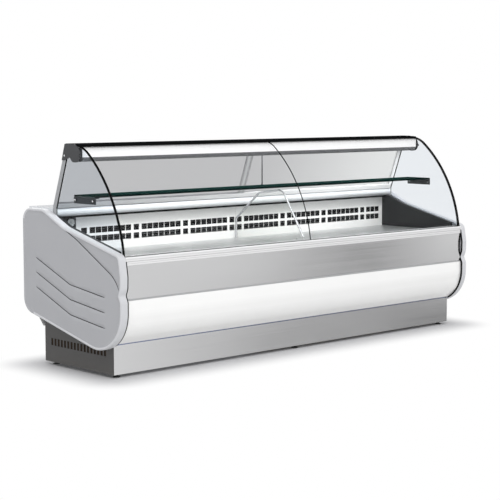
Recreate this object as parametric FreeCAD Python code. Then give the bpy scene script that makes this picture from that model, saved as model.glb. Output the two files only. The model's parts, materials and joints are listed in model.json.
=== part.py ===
import FreeCAD
import Part
import math
import os

# Refrigerated serve-over deli case with lift-up curved front glass. Millimetres, +Z up.
# X runs along the case, -Y is the customer's side, and the origin is on the floor under the middle.

V = FreeCAD.Vector

# ---- driving dimensions ----
body_length = 3000.0        # between the inner faces of the two end panels
case_depth = 962.0          # end panel, front to back
end_thickness = 46.0        # moulded end panel
worktop_height = 950.0      # top of the service worktop
worktop_thickness = 52.0
canopy_height = 1337.0      # top of the canopy profile
rail_height = 709.0         # top of the front rail
rail_drop = 49.0            # front rail, top to bottom
seam_height = 460.0         # top of the white lower panel
seam_gap = 10.0             # dark strip between the two front panels
plinth_top = 199.0
foot_height = 21.0          # floor to the underside of the plinth
plinth_setback_front = 133.0
plinth_setback_rear = 157.0
panel_setback = 18.0        # front panels stand behind the end panels' front edge
sheet = 1.5                 # folded sheet metal
tub_wall = 50.0             # foam insulation
tub_floor_height = 450.0    # inside floor of the cold well
tub_setback = 23.0          # front panel face to the tub's outer skin
tub_setback_rear = 36.0
liner = 1.2                 # stainless well liner
deck_height = 675.0         # display deck
deck_edge = 20.0            # folded edge of each deck plate
glass = 6.0                 # front and side glass
pane_gap = 3.0              # between the two front panes
glass_foot_setback = 12.0   # front panel face to the foot of the front glass
glass_foot_lean = 7.4       # degrees back from upright at the foot
glass_bend_start = 51.5     # degrees round the main arc where the top bend begins
glass_bend_radius = 189.0
canopy_depth = 95.0
canopy_thickness = 15.0
hinge_offset = 15.6         # end of the front glass to the hinge pin
hinge_pin_radius = 3.0
pin_reach = 14.0             # each side of a clamp
hinge_barrel_radius = 8.0
clamp_length = 104.0
clamp_grip = 36.0           # how far a clamp reaches over the glass
clamp_jaw = 4.0
post_width = 32.0
post_thickness = 8.0
post_foot = 38.0            # worktop nose to the rear edge of a post, along the worktop
worktop_nose = 671.0        # case front to the worktop's nose
worktop_back_gap = 9.0
lining_thickness = 22.0
grille_back = 62.0          # worktop nose to the air grille behind it
cell = 43.6                 # one opening of the air grille
cell_bar = 3.0
cell_height = 37.0
grille_post = 20.0
grille_rows = 2
shelf_depth = 205.0
hanger_setback = 186.0      # shelf's front edge to its hanger rod
shelf_underside = 1029.0
shelf_thickness = 10.0
bracket_height = 39.0
door_pane = 5.0
door_pitch = 17.0           # between the two sliding panes
door_overlap = 40.0
running = 0.4               # clearance of a sliding or turning piece
nose_seal = 8.0             # seal between the worktop and the air grille
seam = 1.0                  # clearance of a piece that lifts away
bore_gap = 0.05             # clearance of a pin or shaft in its bore

# ---- values that follow from them ----
half = body_length / 2
front = -case_depth / 2
back = case_depth / 2
panel_face = front + panel_setback
plinth_front = front + plinth_setback_front
plinth_back = back - plinth_setback_rear
rail_bottom = rail_height - rail_drop
tub_front = panel_face + tub_setback
tub_back = back - tub_setback_rear
tub_bottom = tub_floor_height - tub_wall
well_front = tub_front + tub_wall + liner
well_back = tub_back - tub_wall - liner
well_floor = tub_floor_height + liner
worktop_front = front + worktop_nose
worktop_back = back - worktop_back_gap
worktop_underside = worktop_height - worktop_thickness
slot_width = post_thickness
lining_outer = half - slot_width
well_half = lining_outer - lining_thickness
ledge_height = deck_height - deck_edge
grille_face = worktop_front + grille_back
grille_top = worktop_underside - nose_seal
canopy_underside = canopy_height - canopy_thickness

glass_foot = (panel_face + glass_foot_setback, rail_height + 3.0)
glass_top = canopy_height - 6.0
bend_sine = math.sin(math.radians(glass_bend_start))
bend_cosine = math.cos(math.radians(glass_bend_start))
foot_sine = math.sin(math.radians(glass_foot_lean))
foot_cosine = math.cos(math.radians(glass_foot_lean))
glass_radius = (glass_top - glass_foot[1] - glass_bend_radius * (1 - bend_sine)) / (bend_sine - foot_sine)
arc_centre = (glass_foot[0] + glass_radius * foot_cosine, glass_foot[1] - glass_radius * foot_sine)
bend_centre = (arc_centre[0] - (glass_radius - glass_bend_radius) * bend_cosine,
               arc_centre[1] + (glass_radius - glass_bend_radius) * bend_sine)
hinge_spot = (bend_centre[0] + hinge_offset, glass_top - glass / 2)
canopy_front = bend_centre[0] + 5.6
canopy_back = canopy_front + canopy_depth

post_foot_back = worktop_front + post_foot
post_lean = math.atan2(post_foot_back - canopy_back, canopy_underside - worktop_height)
post_span = post_width / math.cos(post_lean)
post_foot_front = post_foot_back - post_span


# ---- shapes ----
def box(x0, x1, y0, y1, z0, z1):
    return Part.makeBox(x1 - x0, y1 - y0, z1 - z0, V(x0, y0, z0))


def rod(radius, start, end):
    way = end - start
    return Part.makeCylinder(radius, way.Length, start, way)


def faceted(radius, start, end, sides=12, clear=False):
    """Bar with flats for a small or repeated round: its corners on the radius, or a bore's flats."""
    way = end - start
    side = way.cross(V(0, 0, 1) if abs(way.z) < abs(way.x) + abs(way.y) else V(1, 0, 0)).normalize()
    reach = radius / math.cos(math.pi / sides) if clear else radius
    spots = [start + FreeCAD.Rotation(way, 360 * i / sides).multVec(side) * reach for i in range(sides)]
    return Part.Face(Part.makePolygon(spots + spots[:1])).extrude(way)


def frustum(low_radius, high_radius, x, low, high, sides):
    """Upright cone frustum with flats."""
    rings = []
    for radius, z in ((low_radius, low), (high_radius, high)):
        turns = [2 * math.pi * i / sides for i in range(sides)]
        rings.append([V(x + radius * math.cos(turn), radius * math.sin(turn), z) for turn in turns])
    faces = [Part.Face(Part.makePolygon(ring + ring[:1])) for ring in rings]
    for i in range(sides):
        j = (i + 1) % sides
        corners = [rings[0][i], rings[0][j], rings[1][j], rings[1][i]]
        faces.append(Part.Face(Part.makePolygon(corners + corners[:1])))
    return Part.makeSolid(Part.makeShell(faces))


def hexagon(across, start, end):
    """Hexagonal bar, with its size across the flats."""
    return faceted(across / 2, start, end, 6, True)


def fuse(first, *others):
    return first.fuse(list(others)).removeSplitter()


def half_angle(before, here, after):
    return (before - here).getAngle(after - here) / 2


def corner_reaches(spots, radii, closed):
    """Length of run that each rounded corner takes, shared out where a run is short."""
    count = len(spots)
    reaches = [0.0] * count
    for i in range(0 if closed else 1, count if closed else count - 1):
        angle = half_angle(spots[i - 1], spots[i], spots[(i + 1) % count])
        reaches[i] = radii[i] / math.tan(angle)
    shares = [1.0] * count
    for i in range(count if closed else count - 1):
        j = (i + 1) % count
        run = (spots[j] - spots[i]).Length
        wanted = reaches[i] + reaches[j]
        if wanted > 0.98 * run:
            shares[i] = min(shares[i], 0.98 * run / wanted)
            shares[j] = min(shares[j], 0.98 * run / wanted)
    return [reach * share for reach, share in zip(reaches, shares)]


def corner_arc(before, here, after, reach):
    """Start, middle and end of the tangent arc that rounds one corner."""
    back_way = (before - here).normalize()
    ahead_way = (after - here).normalize()
    angle = back_way.getAngle(ahead_way) / 2
    middle_way = (back_way + ahead_way).normalize()
    radius = reach * math.tan(angle)
    middle = here + middle_way * (radius / math.sin(angle) - radius)
    return here + back_way * reach, middle, here + ahead_way * reach


def rounded_wire(spots, radii, closed=True):
    """Straight runs through the spots, joined by tangent arcs of the given radii."""
    count = len(spots)
    reaches = corner_reaches(spots, radii, closed)
    edges = []
    starts = []
    ends = []
    for i in range(count):
        if reaches[i] > 1e-6:
            start, middle, end = corner_arc(spots[i - 1], spots[i], spots[(i + 1) % count], reaches[i])
            edges.append(Part.Arc(start, middle, end).toShape())
        else:
            start = end = spots[i]
        starts.append(start)
        ends.append(end)
    for i in range(count if closed else count - 1):
        edges.append(Part.LineSegment(ends[i], starts[(i + 1) % count]).toShape())
    return Part.Wire(Part.__sortEdges__(edges))


def section(corners):
    """Wire in the YZ plane from (y, z) or (y, z, radius) corners."""
    spots = [V(0, c[0], c[1]) for c in corners]
    radii = [c[2] if len(c) > 2 else 0.0 for c in corners]
    return rounded_wire(spots, radii)


def along(wire, x0, x1):
    """Solid with a YZ section, from x0 to x1."""
    solid = Part.Face(wire).extrude(V(x1 - x0, 0, 0))
    solid.translate(V(x0, 0, 0))
    return solid


def prism(corners, x0, x1):
    return along(section(corners), x0, x1)


def mirrored(shape):
    return shape.mirror(V(0, 0, 0), V(1, 0, 0))


def both_ends(shape):
    return Part.makeCompound([shape, mirrored(shape)])


def offset_spots(path, thickness):
    """The path's corners moved to its left by the sheet's thickness."""
    count = len(path)
    normals = []
    for (y0, z0, _), (y1, z1, _) in zip(path, path[1:]):
        length = math.hypot(y1 - y0, z1 - z0)
        normals.append(((z0 - z1) / length, (y1 - y0) / length))
    moved = []
    for i, (y, z, radius) in enumerate(path):
        first = normals[max(i - 1, 0)]
        second = normals[min(i, count - 2)]
        scale = 1 + first[0] * second[0] + first[1] * second[1]
        turn = first[0] * second[1] - first[1] * second[0]
        side_radius = max(radius - math.copysign(thickness, turn), 0.0) if radius else 0.0
        moved.append((y + thickness * (first[0] + second[0]) / scale,
                      z + thickness * (first[1] + second[1]) / scale, side_radius))
    return moved


def folded(path, x0, x1, thickness=sheet):
    """Sheet folded along an open (y, z, radius) path and thickened to its left."""
    return prism(path + offset_spots(path, thickness)[::-1], x0, x1)


def arc_point(centre, radius, degrees):
    angle = math.radians(degrees)
    return V(0, centre[0] - radius * math.cos(angle), centre[1] + radius * math.sin(angle))


def arc_edge(centre, radius, first, last):
    spots = [arc_point(centre, radius, angle) for angle in (first, (first + last) / 2, last)]
    return Part.Arc(*spots).toShape()


def glass_band(outer_in, inner_in, first=None, last=90.0):
    """Section of a band that follows the front glass, between two depths behind its outer face."""
    start = glass_foot_lean if first is None else first
    edges = []
    for depth in (outer_in, inner_in):
        if start < glass_bend_start:
            edges.append(arc_edge(arc_centre, glass_radius - depth, start, glass_bend_start))
        edges.append(arc_edge(bend_centre, glass_bend_radius - depth, max(start, glass_bend_start), last))
    centre = arc_centre if start < glass_bend_start else bend_centre
    radius = glass_radius if start < glass_bend_start else glass_bend_radius
    edges.append(Part.LineSegment(arc_point(centre, radius - outer_in, start),
                                  arc_point(centre, radius - inner_in, start)).toShape())
    edges.append(Part.LineSegment(arc_point(bend_centre, glass_bend_radius - outer_in, last),
                                  arc_point(bend_centre, glass_bend_radius - inner_in, last)).toShape())
    return Part.Wire(Part.__sortEdges__(edges))


def leaned(across, up):
    """(y, z) of a spot in the posts' leaning frame: across from their front edge, up from the worktop."""
    return (post_foot_front + across * math.cos(post_lean) - up * math.sin(post_lean),
            worktop_height + across * math.sin(post_lean) + up * math.cos(post_lean))


def leaned_up(across, height):
    """Distance up the leaning frame at which a spot reaches a height."""
    return (height - worktop_height - across * math.sin(post_lean)) / math.cos(post_lean)


# ---- end panels ----
end_step = 6.0              # worktop down to the end panels' rear top
end_top = worktop_height - end_step
shoulder = (front + 747.0, end_top)
knee = (front + 545.0, rail_height + 140.0)
brow = (front + 20.0, rail_height + 10.0)
waist_height = seam_height + 32.0
waist_depth = 18.0
belly_front = 97.5
belly_back = 324.0
end_rim = 13.0
end_recess = 4.0
groove = 4.0
groove_depth = 2.5


def end_corners():
    return [(back, belly_back, 95), (back, end_top, 75), (*shoulder, 130), (*knee, 250), (*brow, 45),
            (front, rail_height - 109, 90), (front + 2, waist_height + 38, 60),
            (front + waist_depth, waist_height, 8), (front, waist_height - 36, 30), (front, belly_front, 236)]


def end_height(y):
    """Height of the end panel's top edge at a depth, before its corners are rounded."""
    spots = (brow, knee, shoulder, (back, end_top))
    for (y0, z0), (y1, z1) in zip(spots, spots[1:]):
        if y <= y1:
            return z0 + (z1 - z0) * (y - y0) / (y1 - y0)
    return end_top


def end_grooves():
    """Three kinked grooves and the long one that parts the upper front of the moulding."""
    kinked = []
    for rise in (0.0, 90.0, 178.0):
        kinked.append([(back - 131, belly_back + 150 + rise, 0), (front + 484, belly_back + 14 + rise, 60),
                       (front + 152, belly_back - 30 + rise, 0)])
    kinked.append([(knee[0], knee[1] + 4, 0), (knee[0] - 125, knee[1] - 64, 200),
                   (front + 166, rail_height - 62, 300), (front + 55, rail_height - 122, 200),
                   (front + 12, rail_height - 205, 0)])
    return kinked


def make_end_panel():
    outline = section(end_corners())
    panel = along(outline, -half - end_thickness, -half)
    inner = outline.makeOffset2D(-end_rim)
    recess = along(inner, -half - end_thickness, -half - end_thickness + end_recess)
    floor_x = -half - end_thickness + end_recess
    tools = [recess]
    field = along(inner, floor_x - 1, floor_x + groove_depth)
    for path in end_grooves():
        tools.append(folded(path, floor_x - 1, floor_x + groove_depth, groove).common(field))
    return panel.cut(tools).removeSplitter()


# ---- base ----
frame_tube = 40.0
frame_wall = 3.0
frame_bays = (-1.0, 0.0, 1.0)
frame_half = half - 30.0
frame_front = plinth_front + 20.0
frame_back = plinth_back - 26.0
foot_radius = 22.0
foot_pad = 9.0
foot_nut = 20.0
frame_rise = 4.0            # plinth's underside to the frame's


def square_tube(start, end):
    """Square steel tube along one axis, between two centre points."""
    outer = frame_tube / 2
    inner = outer - frame_wall
    shapes = []
    for reach, grow in ((outer, 0.0), (inner, 1.0)):
        low = [min(a, b) - (grow if a != b else reach) for a, b in zip(start, end)]
        high = [max(a, b) + (grow if a != b else reach) for a, b in zip(start, end)]
        shapes.append(box(low[0], high[0], low[1], high[1], low[2], high[2]))
    return shapes[0].cut(shapes[1])


def frame_columns():
    """X of each row of legs."""
    return [share * (frame_half - frame_tube / 2) for share in frame_bays]


def frame_rows():
    return (frame_front + frame_tube / 2, frame_back - frame_tube / 2)


def make_base_frame():
    low_z = foot_height + frame_rise + frame_tube / 2
    high_z = tub_bottom - frame_tube / 2
    parts = []
    for y in frame_rows():
        parts.append(square_tube((-frame_half, y, low_z), (frame_half, y, low_z)))
        parts.append(square_tube((-frame_half, y, high_z), (frame_half, y, high_z)))
        for x in frame_columns():
            parts.append(square_tube((x, y, low_z + frame_tube / 2), (x, y, high_z - frame_tube / 2)))
    first_y, last_y = frame_rows()
    for x in frame_columns():
        for z in (low_z, high_z):
            parts.append(square_tube((x, first_y + frame_tube / 2, z), (x, last_y - frame_tube / 2, z)))
    return fuse(*parts)


def make_levelling_feet():
    feet = []
    for x in frame_columns():
        for y in frame_rows():
            pad = faceted(foot_radius, V(x, y, 0), V(x, y, foot_pad), 16)
            feet.append(fuse(pad, hexagon(foot_nut, V(x, y, foot_pad), V(x, y, foot_height + frame_rise))))
    return Part.makeCompound(feet)


def make_kick_plate():
    path = [(frame_front, foot_height + sheet, 0), (plinth_front + sheet, foot_height + sheet, 0),
            (plinth_front + sheet, plinth_top - sheet, 0), (frame_front, plinth_top - sheet, 0)]
    return folded(path, -half + sheet, half - sheet)


vent_count = 17
vent_width = 20.0
vent_low = 122.0
vent_high = 165.0
side_top = 300.0


def make_plinth_sides():
    plate = prism([(plinth_front + sheet, foot_height), (plinth_back, foot_height),
                   (plinth_back, side_top), (plinth_front + 150, side_top), (frame_front, plinth_top),
                   (plinth_front + sheet, plinth_top)], -half, -half + sheet)
    plate = fuse(plate, box(-half, -frame_half, plinth_back - sheet, plinth_back, foot_height, side_top))
    first = plinth_front + 71 + vent_width / 2
    pitch = (plinth_back - 56 - first) / (vent_count - 0.5)
    slots = []
    for i in range(vent_count):
        y = first + i * pitch
        slots.append(box(-half - 1, -half + sheet + 1, y - vent_width / 2, y + vent_width / 2,
                         vent_low, vent_high))
    return both_ends(plate.cut(slots))


service_low = 63.0
service_high = 229.0
service_depth = 16.0


def make_rear_service_grille():
    x1 = half - 20
    lid = box(-x1, x1, plinth_back, plinth_back + service_depth, service_low, service_high)
    lid = lid.cut(box(-x1 + sheet, x1 - sheet, plinth_back - 1, plinth_back + service_depth - sheet,
                      service_low + sheet, service_high - sheet))
    slots = []
    for group in (-0.75, -0.25, 0.25, 0.75):
        for row in range(5):
            z = service_low + 33 + row * 22
            slots.append(box(group * x1 - 240, group * x1 + 240, plinth_back, plinth_back + service_depth + 1,
                             z, z + 8))
    return lid.cut(slots)


# ---- condensing unit ----
unit_gap = 4.0
unit_length = 640.0
unit_x0 = -frame_half + frame_tube + unit_gap
unit_x1 = unit_x0 + unit_length
unit_y0 = -230.0
unit_y1 = 200.0
tray_z = foot_height + frame_rise + frame_tube
tray_sheet = 2.0
tray_lip = 22.0


def make_unit_tray():
    floor_top = tray_z + tray_sheet
    tray = box(unit_x0, unit_x1, frame_front, frame_back, tray_z, floor_top)
    lip_front = frame_front + frame_tube + unit_gap
    lip_back = frame_back - frame_tube - unit_gap - tray_sheet
    lips = [box(unit_x0, unit_x1, y, y + tray_sheet, floor_top, tray_z + tray_lip)
            for y in (lip_front, lip_back)]
    return fuse(tray, *lips)


compressor_offset = 490.0
compressor_x = unit_x0 + compressor_offset
compressor_radius = 95.0
compressor_height = 210.0
dome_drop = 50.0
dome_inset = 40.0
foot_plate_half = (110.0, 90.0)
foot_reach = (95.0, 75.0)
foot_half = 9.0
can_sides = 28
foot_rise = 12.0
plate_thickness = 4.0
terminal_cover = (64.0, 28.0, 90.0)
pipe_radius = 6.0


def make_compressor():
    """Domed hermetic can on a footed plate, with its terminal cover."""
    base = tray_z + tray_sheet
    low = base + foot_rise + plate_thickness
    high = base + compressor_height
    shoulder_z = high - dome_drop
    can = frustum(compressor_radius, compressor_radius, compressor_x, low, shoulder_z, can_sides)
    crown = compressor_radius - dome_inset
    dome = frustum(compressor_radius, crown, compressor_x, shoulder_z, high, can_sides)
    plate_x, plate_y = foot_plate_half
    foot_plate = box(compressor_x - plate_x, compressor_x + plate_x, -plate_y, plate_y, base + foot_rise, low)
    feet = [box(compressor_x + dx - foot_half, compressor_x + dx + foot_half, dy - foot_half, dy + foot_half,
                base, base + foot_rise) for dx in (-foot_reach[0], foot_reach[0])
            for dy in (-foot_reach[1], foot_reach[1])]
    width, depth, height = terminal_cover
    cover = box(compressor_x - width / 2, compressor_x + width / 2, -compressor_radius - depth,
                20 - compressor_radius, low, low + height)
    return fuse(can, dome, foot_plate, cover, *feet)


stub_y = 34.0
condenser_depth = 90.0
condenser_height = 250.0
condenser_fins = 12
fan_radius = 95.0
fan_centre_z = tray_z + tray_sheet + condenser_height / 2


def make_condenser():
    x0 = unit_x0 + 20
    z0 = tray_z + tray_sheet
    core = box(x0 + 3, x0 + condenser_depth - 3, unit_y0 + 10, unit_y1 - 10, z0, z0 + condenser_height)
    ends = [box(x0, x0 + condenser_depth, y, y + 4, z0, z0 + condenser_height)
            for y in (unit_y0 + 6, unit_y1 - 10)]
    fins = []
    pitch = (unit_y1 - unit_y0 - 30) / condenser_fins
    for i in range(condenser_fins):
        y = unit_y0 + 14 + (i + 0.5) * pitch
        fins.append(box(x0, x0 + condenser_depth, y - 1.5, y + 1.5, z0, z0 + condenser_height))
    return fuse(core, *ends, *fins)


fan_shaft = 3.0
hub_half = 12.0
hub_nose = 3.0
motor_start = 16.0


def axial_fan(centre, way, up, radius, blades=5):
    """Hub with pitched blades and a bore for the motor shaft, turning about the way through its centre."""
    hub_radius = radius * 0.2
    hub = faceted(hub_radius, centre - way * hub_half, centre + way * hub_half, 16)
    bore_start = centre - way * (hub_half - hub_nose)
    bore = faceted(fan_shaft + bore_gap, bore_start, centre + way * (hub_half + 1), 12, True)
    side = way.cross(up)
    pieces = []
    for i in range(blades):
        turn = FreeCAD.Rotation(way, 360.0 * i / blades)
        outward = turn.multVec(up)
        pitch = FreeCAD.Rotation(outward, 32)
        across = pitch.multVec(turn.multVec(side))
        edge = pitch.multVec(way)
        root = centre + outward * (hub_radius - 3)
        shoulder_out = centre + outward * (radius - 14)
        tip = centre + outward * (radius - 3)
        corners = [root - across * 10, shoulder_out - across * 24, tip - across * 16, tip + across * 14,
                   shoulder_out + across * 22, root + across * 12]
        blade = Part.Face(Part.makePolygon(corners + corners[:1])).extrude(edge * 2)
        blade.translate(edge * -1)
        pieces.append(blade)
    return fuse(hub, *pieces).cut(bore)


def fan_motor(centre, way, up, ring_radius, plate_behind):
    """Square motor behind the fan with its shaft, on three strap arms that turn down to the plate."""
    start = centre + way * motor_start
    motor = strap(start, start + way * 42, up, way.cross(up), 44, 44)
    shaft_start = centre - way * (hub_half - hub_nose - 1)
    shaft = faceted(fan_shaft, shaft_start, centre + way * (motor_start + 1), 12)
    arms = []
    for i in range(3):
        turn = FreeCAD.Rotation(way, 120 * i + 60)
        outward = turn.multVec(up)
        side = turn.multVec(way.cross(up))
        root = start + way * 6
        arms.append(strap(root, root + outward * (ring_radius + 6), side, way, 10, 3))
        foot = start + way * 7.5 + outward * (ring_radius + 4.5)
        arms.append(strap(foot, foot - way * (motor_start + 7.5 + plate_behind), side, outward, 10, 3))
    return fuse(motor, shaft, *arms)


def strap(start, end, across, up, width, thickness):
    """Flat bar from one spot to another, centred on its line."""
    corners = [start + across * (a * width / 2) + up * (b * thickness / 2)
               for a, b in ((-1, -1), (1, -1), (1, 1), (-1, 1))]
    return Part.Face(Part.makePolygon(corners + corners[:1])).extrude(end - start)


def condenser_fan_centre():
    return V(unit_x0 + 20 + condenser_depth + 22, (unit_y0 + unit_y1) / 2, fan_centre_z)


def make_condenser_fan_shroud():
    centre = condenser_fan_centre()
    x0 = unit_x0 + 20 + condenser_depth
    z0 = tray_z + tray_sheet
    shell = box(x0, x0 + 50, unit_y0 + 10, unit_y1 - 10, z0, z0 + condenser_height)
    shell = shell.cut(box(x0 - 1, x0 + 20, unit_y0 + 12, unit_y1 - 12, z0 + 2, z0 + condenser_height - 2))
    hole = rod(fan_radius + 4, centre - V(40, 0, 0), centre + V(40, 0, 0))
    plate_x = x0 + 50 - 1 - centre.x
    return fuse(shell.cut(hole), fan_motor(centre, V(1, 0, 0), V(0, 0, 1), fan_radius + 4, -plate_x))


def make_condenser_fan():
    return axial_fan(condenser_fan_centre(), V(1, 0, 0), V(0, 0, 1), fan_radius)


# ---- cold circuit ----
coil_x = 1150.0
coil_y0 = worktop_front - 40.0
coil_y1 = grille_face - 12.0
coil_z0 = well_floor + 14.0
coil_z1 = ledge_height - 28.0
coil_fins = 12
coil_rows = 3


def make_evaporator():
    core = box(-coil_x + 6, coil_x - 6, coil_y0 + 3, coil_y1 - 3, coil_z0 + 3, coil_z1 - 3)
    plates = [box(x, x + 3, coil_y0, coil_y1, well_floor, coil_z1) for x in (-coil_x, coil_x - 3)]
    pitch = 2 * (coil_x - 6) / coil_fins
    fins = [box(-coil_x + 6 + (i + 0.5) * pitch - 1, -coil_x + 6 + (i + 0.5) * pitch + 1,
                coil_y0, coil_y1, coil_z0, coil_z1) for i in range(coil_fins)]
    core_ends = [box(-coil_x + 3, -coil_x + 6, coil_y0 + 3, coil_y1 - 3, coil_z0 + 3, coil_z1 - 3)]
    core_ends.append(mirrored(core_ends[0]))
    bends = []
    for i in range(coil_rows):
        z = coil_z0 + (i + 0.5) * (coil_z1 - coil_z0) / coil_rows
        for x, way in ((-coil_x, -1), (coil_x, 1)):
            reach = x + way * 26
            low, high = min(x, reach), max(x, reach)
            bend = box(low, high, coil_y0 + 25, coil_y1 - 25, z - 5, z + 5)
            inner_low, inner_high = (low + 10, high) if way < 0 else (low, high - 10)
            bends.append(bend.cut(box(inner_low, inner_high, coil_y0 + 35, coil_y1 - 35, z - 5, z + 5)))
    return fuse(core, *plates, *core_ends, *fins, *bends)


def pipe(spots, radius):
    """Pipe in straight runs brazed at square elbows."""
    runs = []
    for start, end in zip(spots, spots[1:]):
        way = (end - start).normalize()
        first = start if start == spots[0] else start - way * radius
        last = end if end == spots[-1] else end + way * radius
        runs.append(faceted(radius, first, last, 8))
    return fuse(*runs)


fan_plate_y = -60.0
fan_margin = 24.0
well_fan_radius = (ledge_height - well_floor) / 2 - fan_margin
well_fan_x = 620.0
well_fan_z = (well_floor + ledge_height) / 2


def well_fan_centre(x):
    return V(x, fan_plate_y + 1, well_fan_z)


def make_evaporator_fan_plate():
    plate = box(-well_half, well_half, fan_plate_y, fan_plate_y + 2, well_floor, ledge_height)
    top_fold = box(-well_half, well_half, fan_plate_y + 2, fan_plate_y + 30, ledge_height - 2, ledge_height)
    plate = fuse(plate, top_fold)
    motors = []
    for x in (-well_fan_x, well_fan_x):
        centre = well_fan_centre(x)
        plate = plate.cut(rod(well_fan_radius + 3, centre - V(0, 20, 0), centre + V(0, 20, 0)))
        motors.append(fan_motor(centre, V(0, -1, 0), V(0, 0, 1), well_fan_radius + 3, 0))
    return fuse(plate, *motors)


def make_evaporator_fan(x):
    return axial_fan(well_fan_centre(x), V(0, -1, 0), V(0, 0, 1), well_fan_radius)


suction_x = compressor_x
suction_y = coil_y0 + 60.0


def make_refrigerant_pipes():
    """Discharge pipe to the condenser, and suction pipe up through the tub floor to the coil."""
    top = tray_z + tray_sheet + compressor_height
    x_coil = unit_x0 + 20 + condenser_depth / 2
    coil_top = tray_z + tray_sheet + condenser_height
    discharge = pipe([V(compressor_x, stub_y, top), V(compressor_x, stub_y, coil_top + 12),
                      V(x_coil, stub_y, coil_top + 12), V(x_coil, stub_y, coil_top)], pipe_radius - 2)
    suction = pipe([V(compressor_x, -stub_y, top), V(compressor_x, -stub_y, coil_top + 28),
                    V(suction_x, suction_y, coil_top + 28), V(suction_x, suction_y, coil_z0)], pipe_radius)
    return Part.makeCompound([discharge, suction])


pan_length = 380.0
pan_x0 = unit_x1 + 60.0


def make_drain_pan():
    x1 = pan_x0 + pan_length
    floor = tray_z
    pan = box(pan_x0, x1, frame_front, frame_back, floor, floor + 45)
    return pan.cut(box(pan_x0 + 2, x1 - 2, frame_front + 2, frame_back - 2, floor + 2, floor + 46))


drain_x = pan_x0 + pan_length / 2
drain_y = fan_plate_y - 120.0
drain_radius = 16.0
drain_wall = 2.0
drain_end = 70.0            # drain pan's floor to the drain's lower end
pipe_gap = 2.0


def make_insulated_tub():
    profile = [(tub_front, tub_bottom, 20), (tub_back, tub_bottom, 20), (tub_back, worktop_underside),
               (tub_back - tub_wall, worktop_underside), (tub_back - tub_wall, tub_floor_height, 12),
               (tub_front + tub_wall, tub_floor_height, 12), (tub_front + tub_wall, rail_bottom),
               (tub_front, rail_bottom)]
    tub = prism(profile, -half, half)
    return tub.cut([floor_hole(suction_x, suction_y, pipe_radius + pipe_gap),
                    floor_hole(drain_x, drain_y, drain_radius + pipe_gap)])


def floor_hole(x, y, radius):
    return faceted(radius, V(x, y, tub_bottom - 1), V(x, y, well_floor + 1), 12, True)


def make_tub_liner():
    path = [(tub_front + tub_wall, rail_bottom, 0), (tub_front + tub_wall, tub_floor_height, 12),
            (tub_back - tub_wall, tub_floor_height, 12), (tub_back - tub_wall, worktop_underside, 0)]
    shell = folded(path, -well_half, well_half, liner)
    low = V(drain_x, drain_y, tray_z + drain_end)
    drain = faceted(drain_radius, low, V(drain_x, drain_y, tub_floor_height))
    bore = faceted(drain_radius - drain_wall, low - V(0, 0, 1), V(drain_x, drain_y, well_floor + 1))
    return fuse(shell, drain).cut([floor_hole(suction_x, suction_y, pipe_radius + pipe_gap), bore])


# ---- front ----
def make_front_upper_panel():
    low = seam_height + seam_gap + sheet
    high = rail_bottom - sheet
    path = [(tub_front, low, 0), (panel_face + sheet, low, 0), (panel_face + sheet, high, 0),
            (tub_front, high, 0)]
    return folded(path, -half, half)


def make_front_lower_panel():
    bulge = panel_face - 5
    path = [(frame_front, plinth_top + sheet, 0), (plinth_front - 8, plinth_top + sheet, 14),
            (bulge + sheet + 24, plinth_top + 74, 150), (bulge + sheet, plinth_top + 178, 150),
            (bulge + sheet + 1, seam_height - sheet, 0), (tub_front, seam_height - sheet, 0)]
    return folded(path, -half, half)


def make_panel_strips():
    return box(-half, half, panel_face + 2, tub_front, seam_height, seam_height + seam_gap)


rail_proud = 3.0
rail_step = 20.0
rail_groove = 4.0
rail_wall = 4.0


def make_front_rail():
    """Hollow front rail with two stepped bands on its face and a flat top for the glass seal."""
    face = panel_face - rail_proud
    step = rail_bottom + rail_step
    sunk = face + rail_groove
    outer = [(face, rail_bottom, 2), (face, step, 2), (sunk, step + 1), (sunk, step + 3),
             (face, step + 4, 2), (face, rail_height, 6), (well_front, rail_height, 3),
             (well_front, rail_bottom)]
    inner_face = sunk + rail_wall
    inner_back = well_front - rail_wall
    low = rail_bottom + rail_wall
    high = rail_height - rail_wall
    hollow = [(inner_face, low), (inner_face, high), (inner_back, high), (inner_back, low)]
    return prism(outer, -half, half).cut(prism(hollow, -half - 1, half + 1))


# ---- ends ----
lining_drop = 3.0           # end panel's top edge to the lining's


def make_end_linings():
    drop = lining_drop
    corners = [(well_front, well_floor, 12), (well_front, end_height(well_front) - drop),
               (knee[0], knee[1] - drop, 200), (worktop_front, worktop_underside),
               (well_back, worktop_underside), (well_back, well_floor, 12)]
    return both_ends(prism(corners, -lining_outer, -well_half))


def make_side_glasses():
    depth = glass + seam + 5.0
    post_line_low = leaned(-3, leaned_up(-3, worktop_height + 1))
    post_line_high = leaned(-3, leaned_up(-3, canopy_underside - 3))
    slot_depth = 34.0
    lower = [post_line_low, (post_line_low[0], end_height(post_line_low[0]) - slot_depth),
             (knee[0], knee[1] - slot_depth), (well_front + 8, end_height(well_front) - slot_depth),
             (well_front + 8, rail_height + 1)]
    edges = [arc_edge(arc_centre, glass_radius - depth, glass_foot_lean, glass_bend_start),
             arc_edge(bend_centre, glass_bend_radius - depth, glass_bend_start, 90.0)]
    foot = arc_point(arc_centre, glass_radius - depth, glass_foot_lean)
    top = arc_point(bend_centre, glass_bend_radius - depth, 90.0)
    spots = [top, V(0, *post_line_high), *[V(0, *spot) for spot in lower],
             V(0, foot.y, rail_height + 1), foot]
    for first, second in zip(spots, spots[1:]):
        if (second - first).Length > 0.01:
            edges.append(Part.LineSegment(first, second).toShape())
    wire = Part.Wire(Part.__sortEdges__(edges))
    return both_ends(along(wire, -half, -half + glass))


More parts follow.
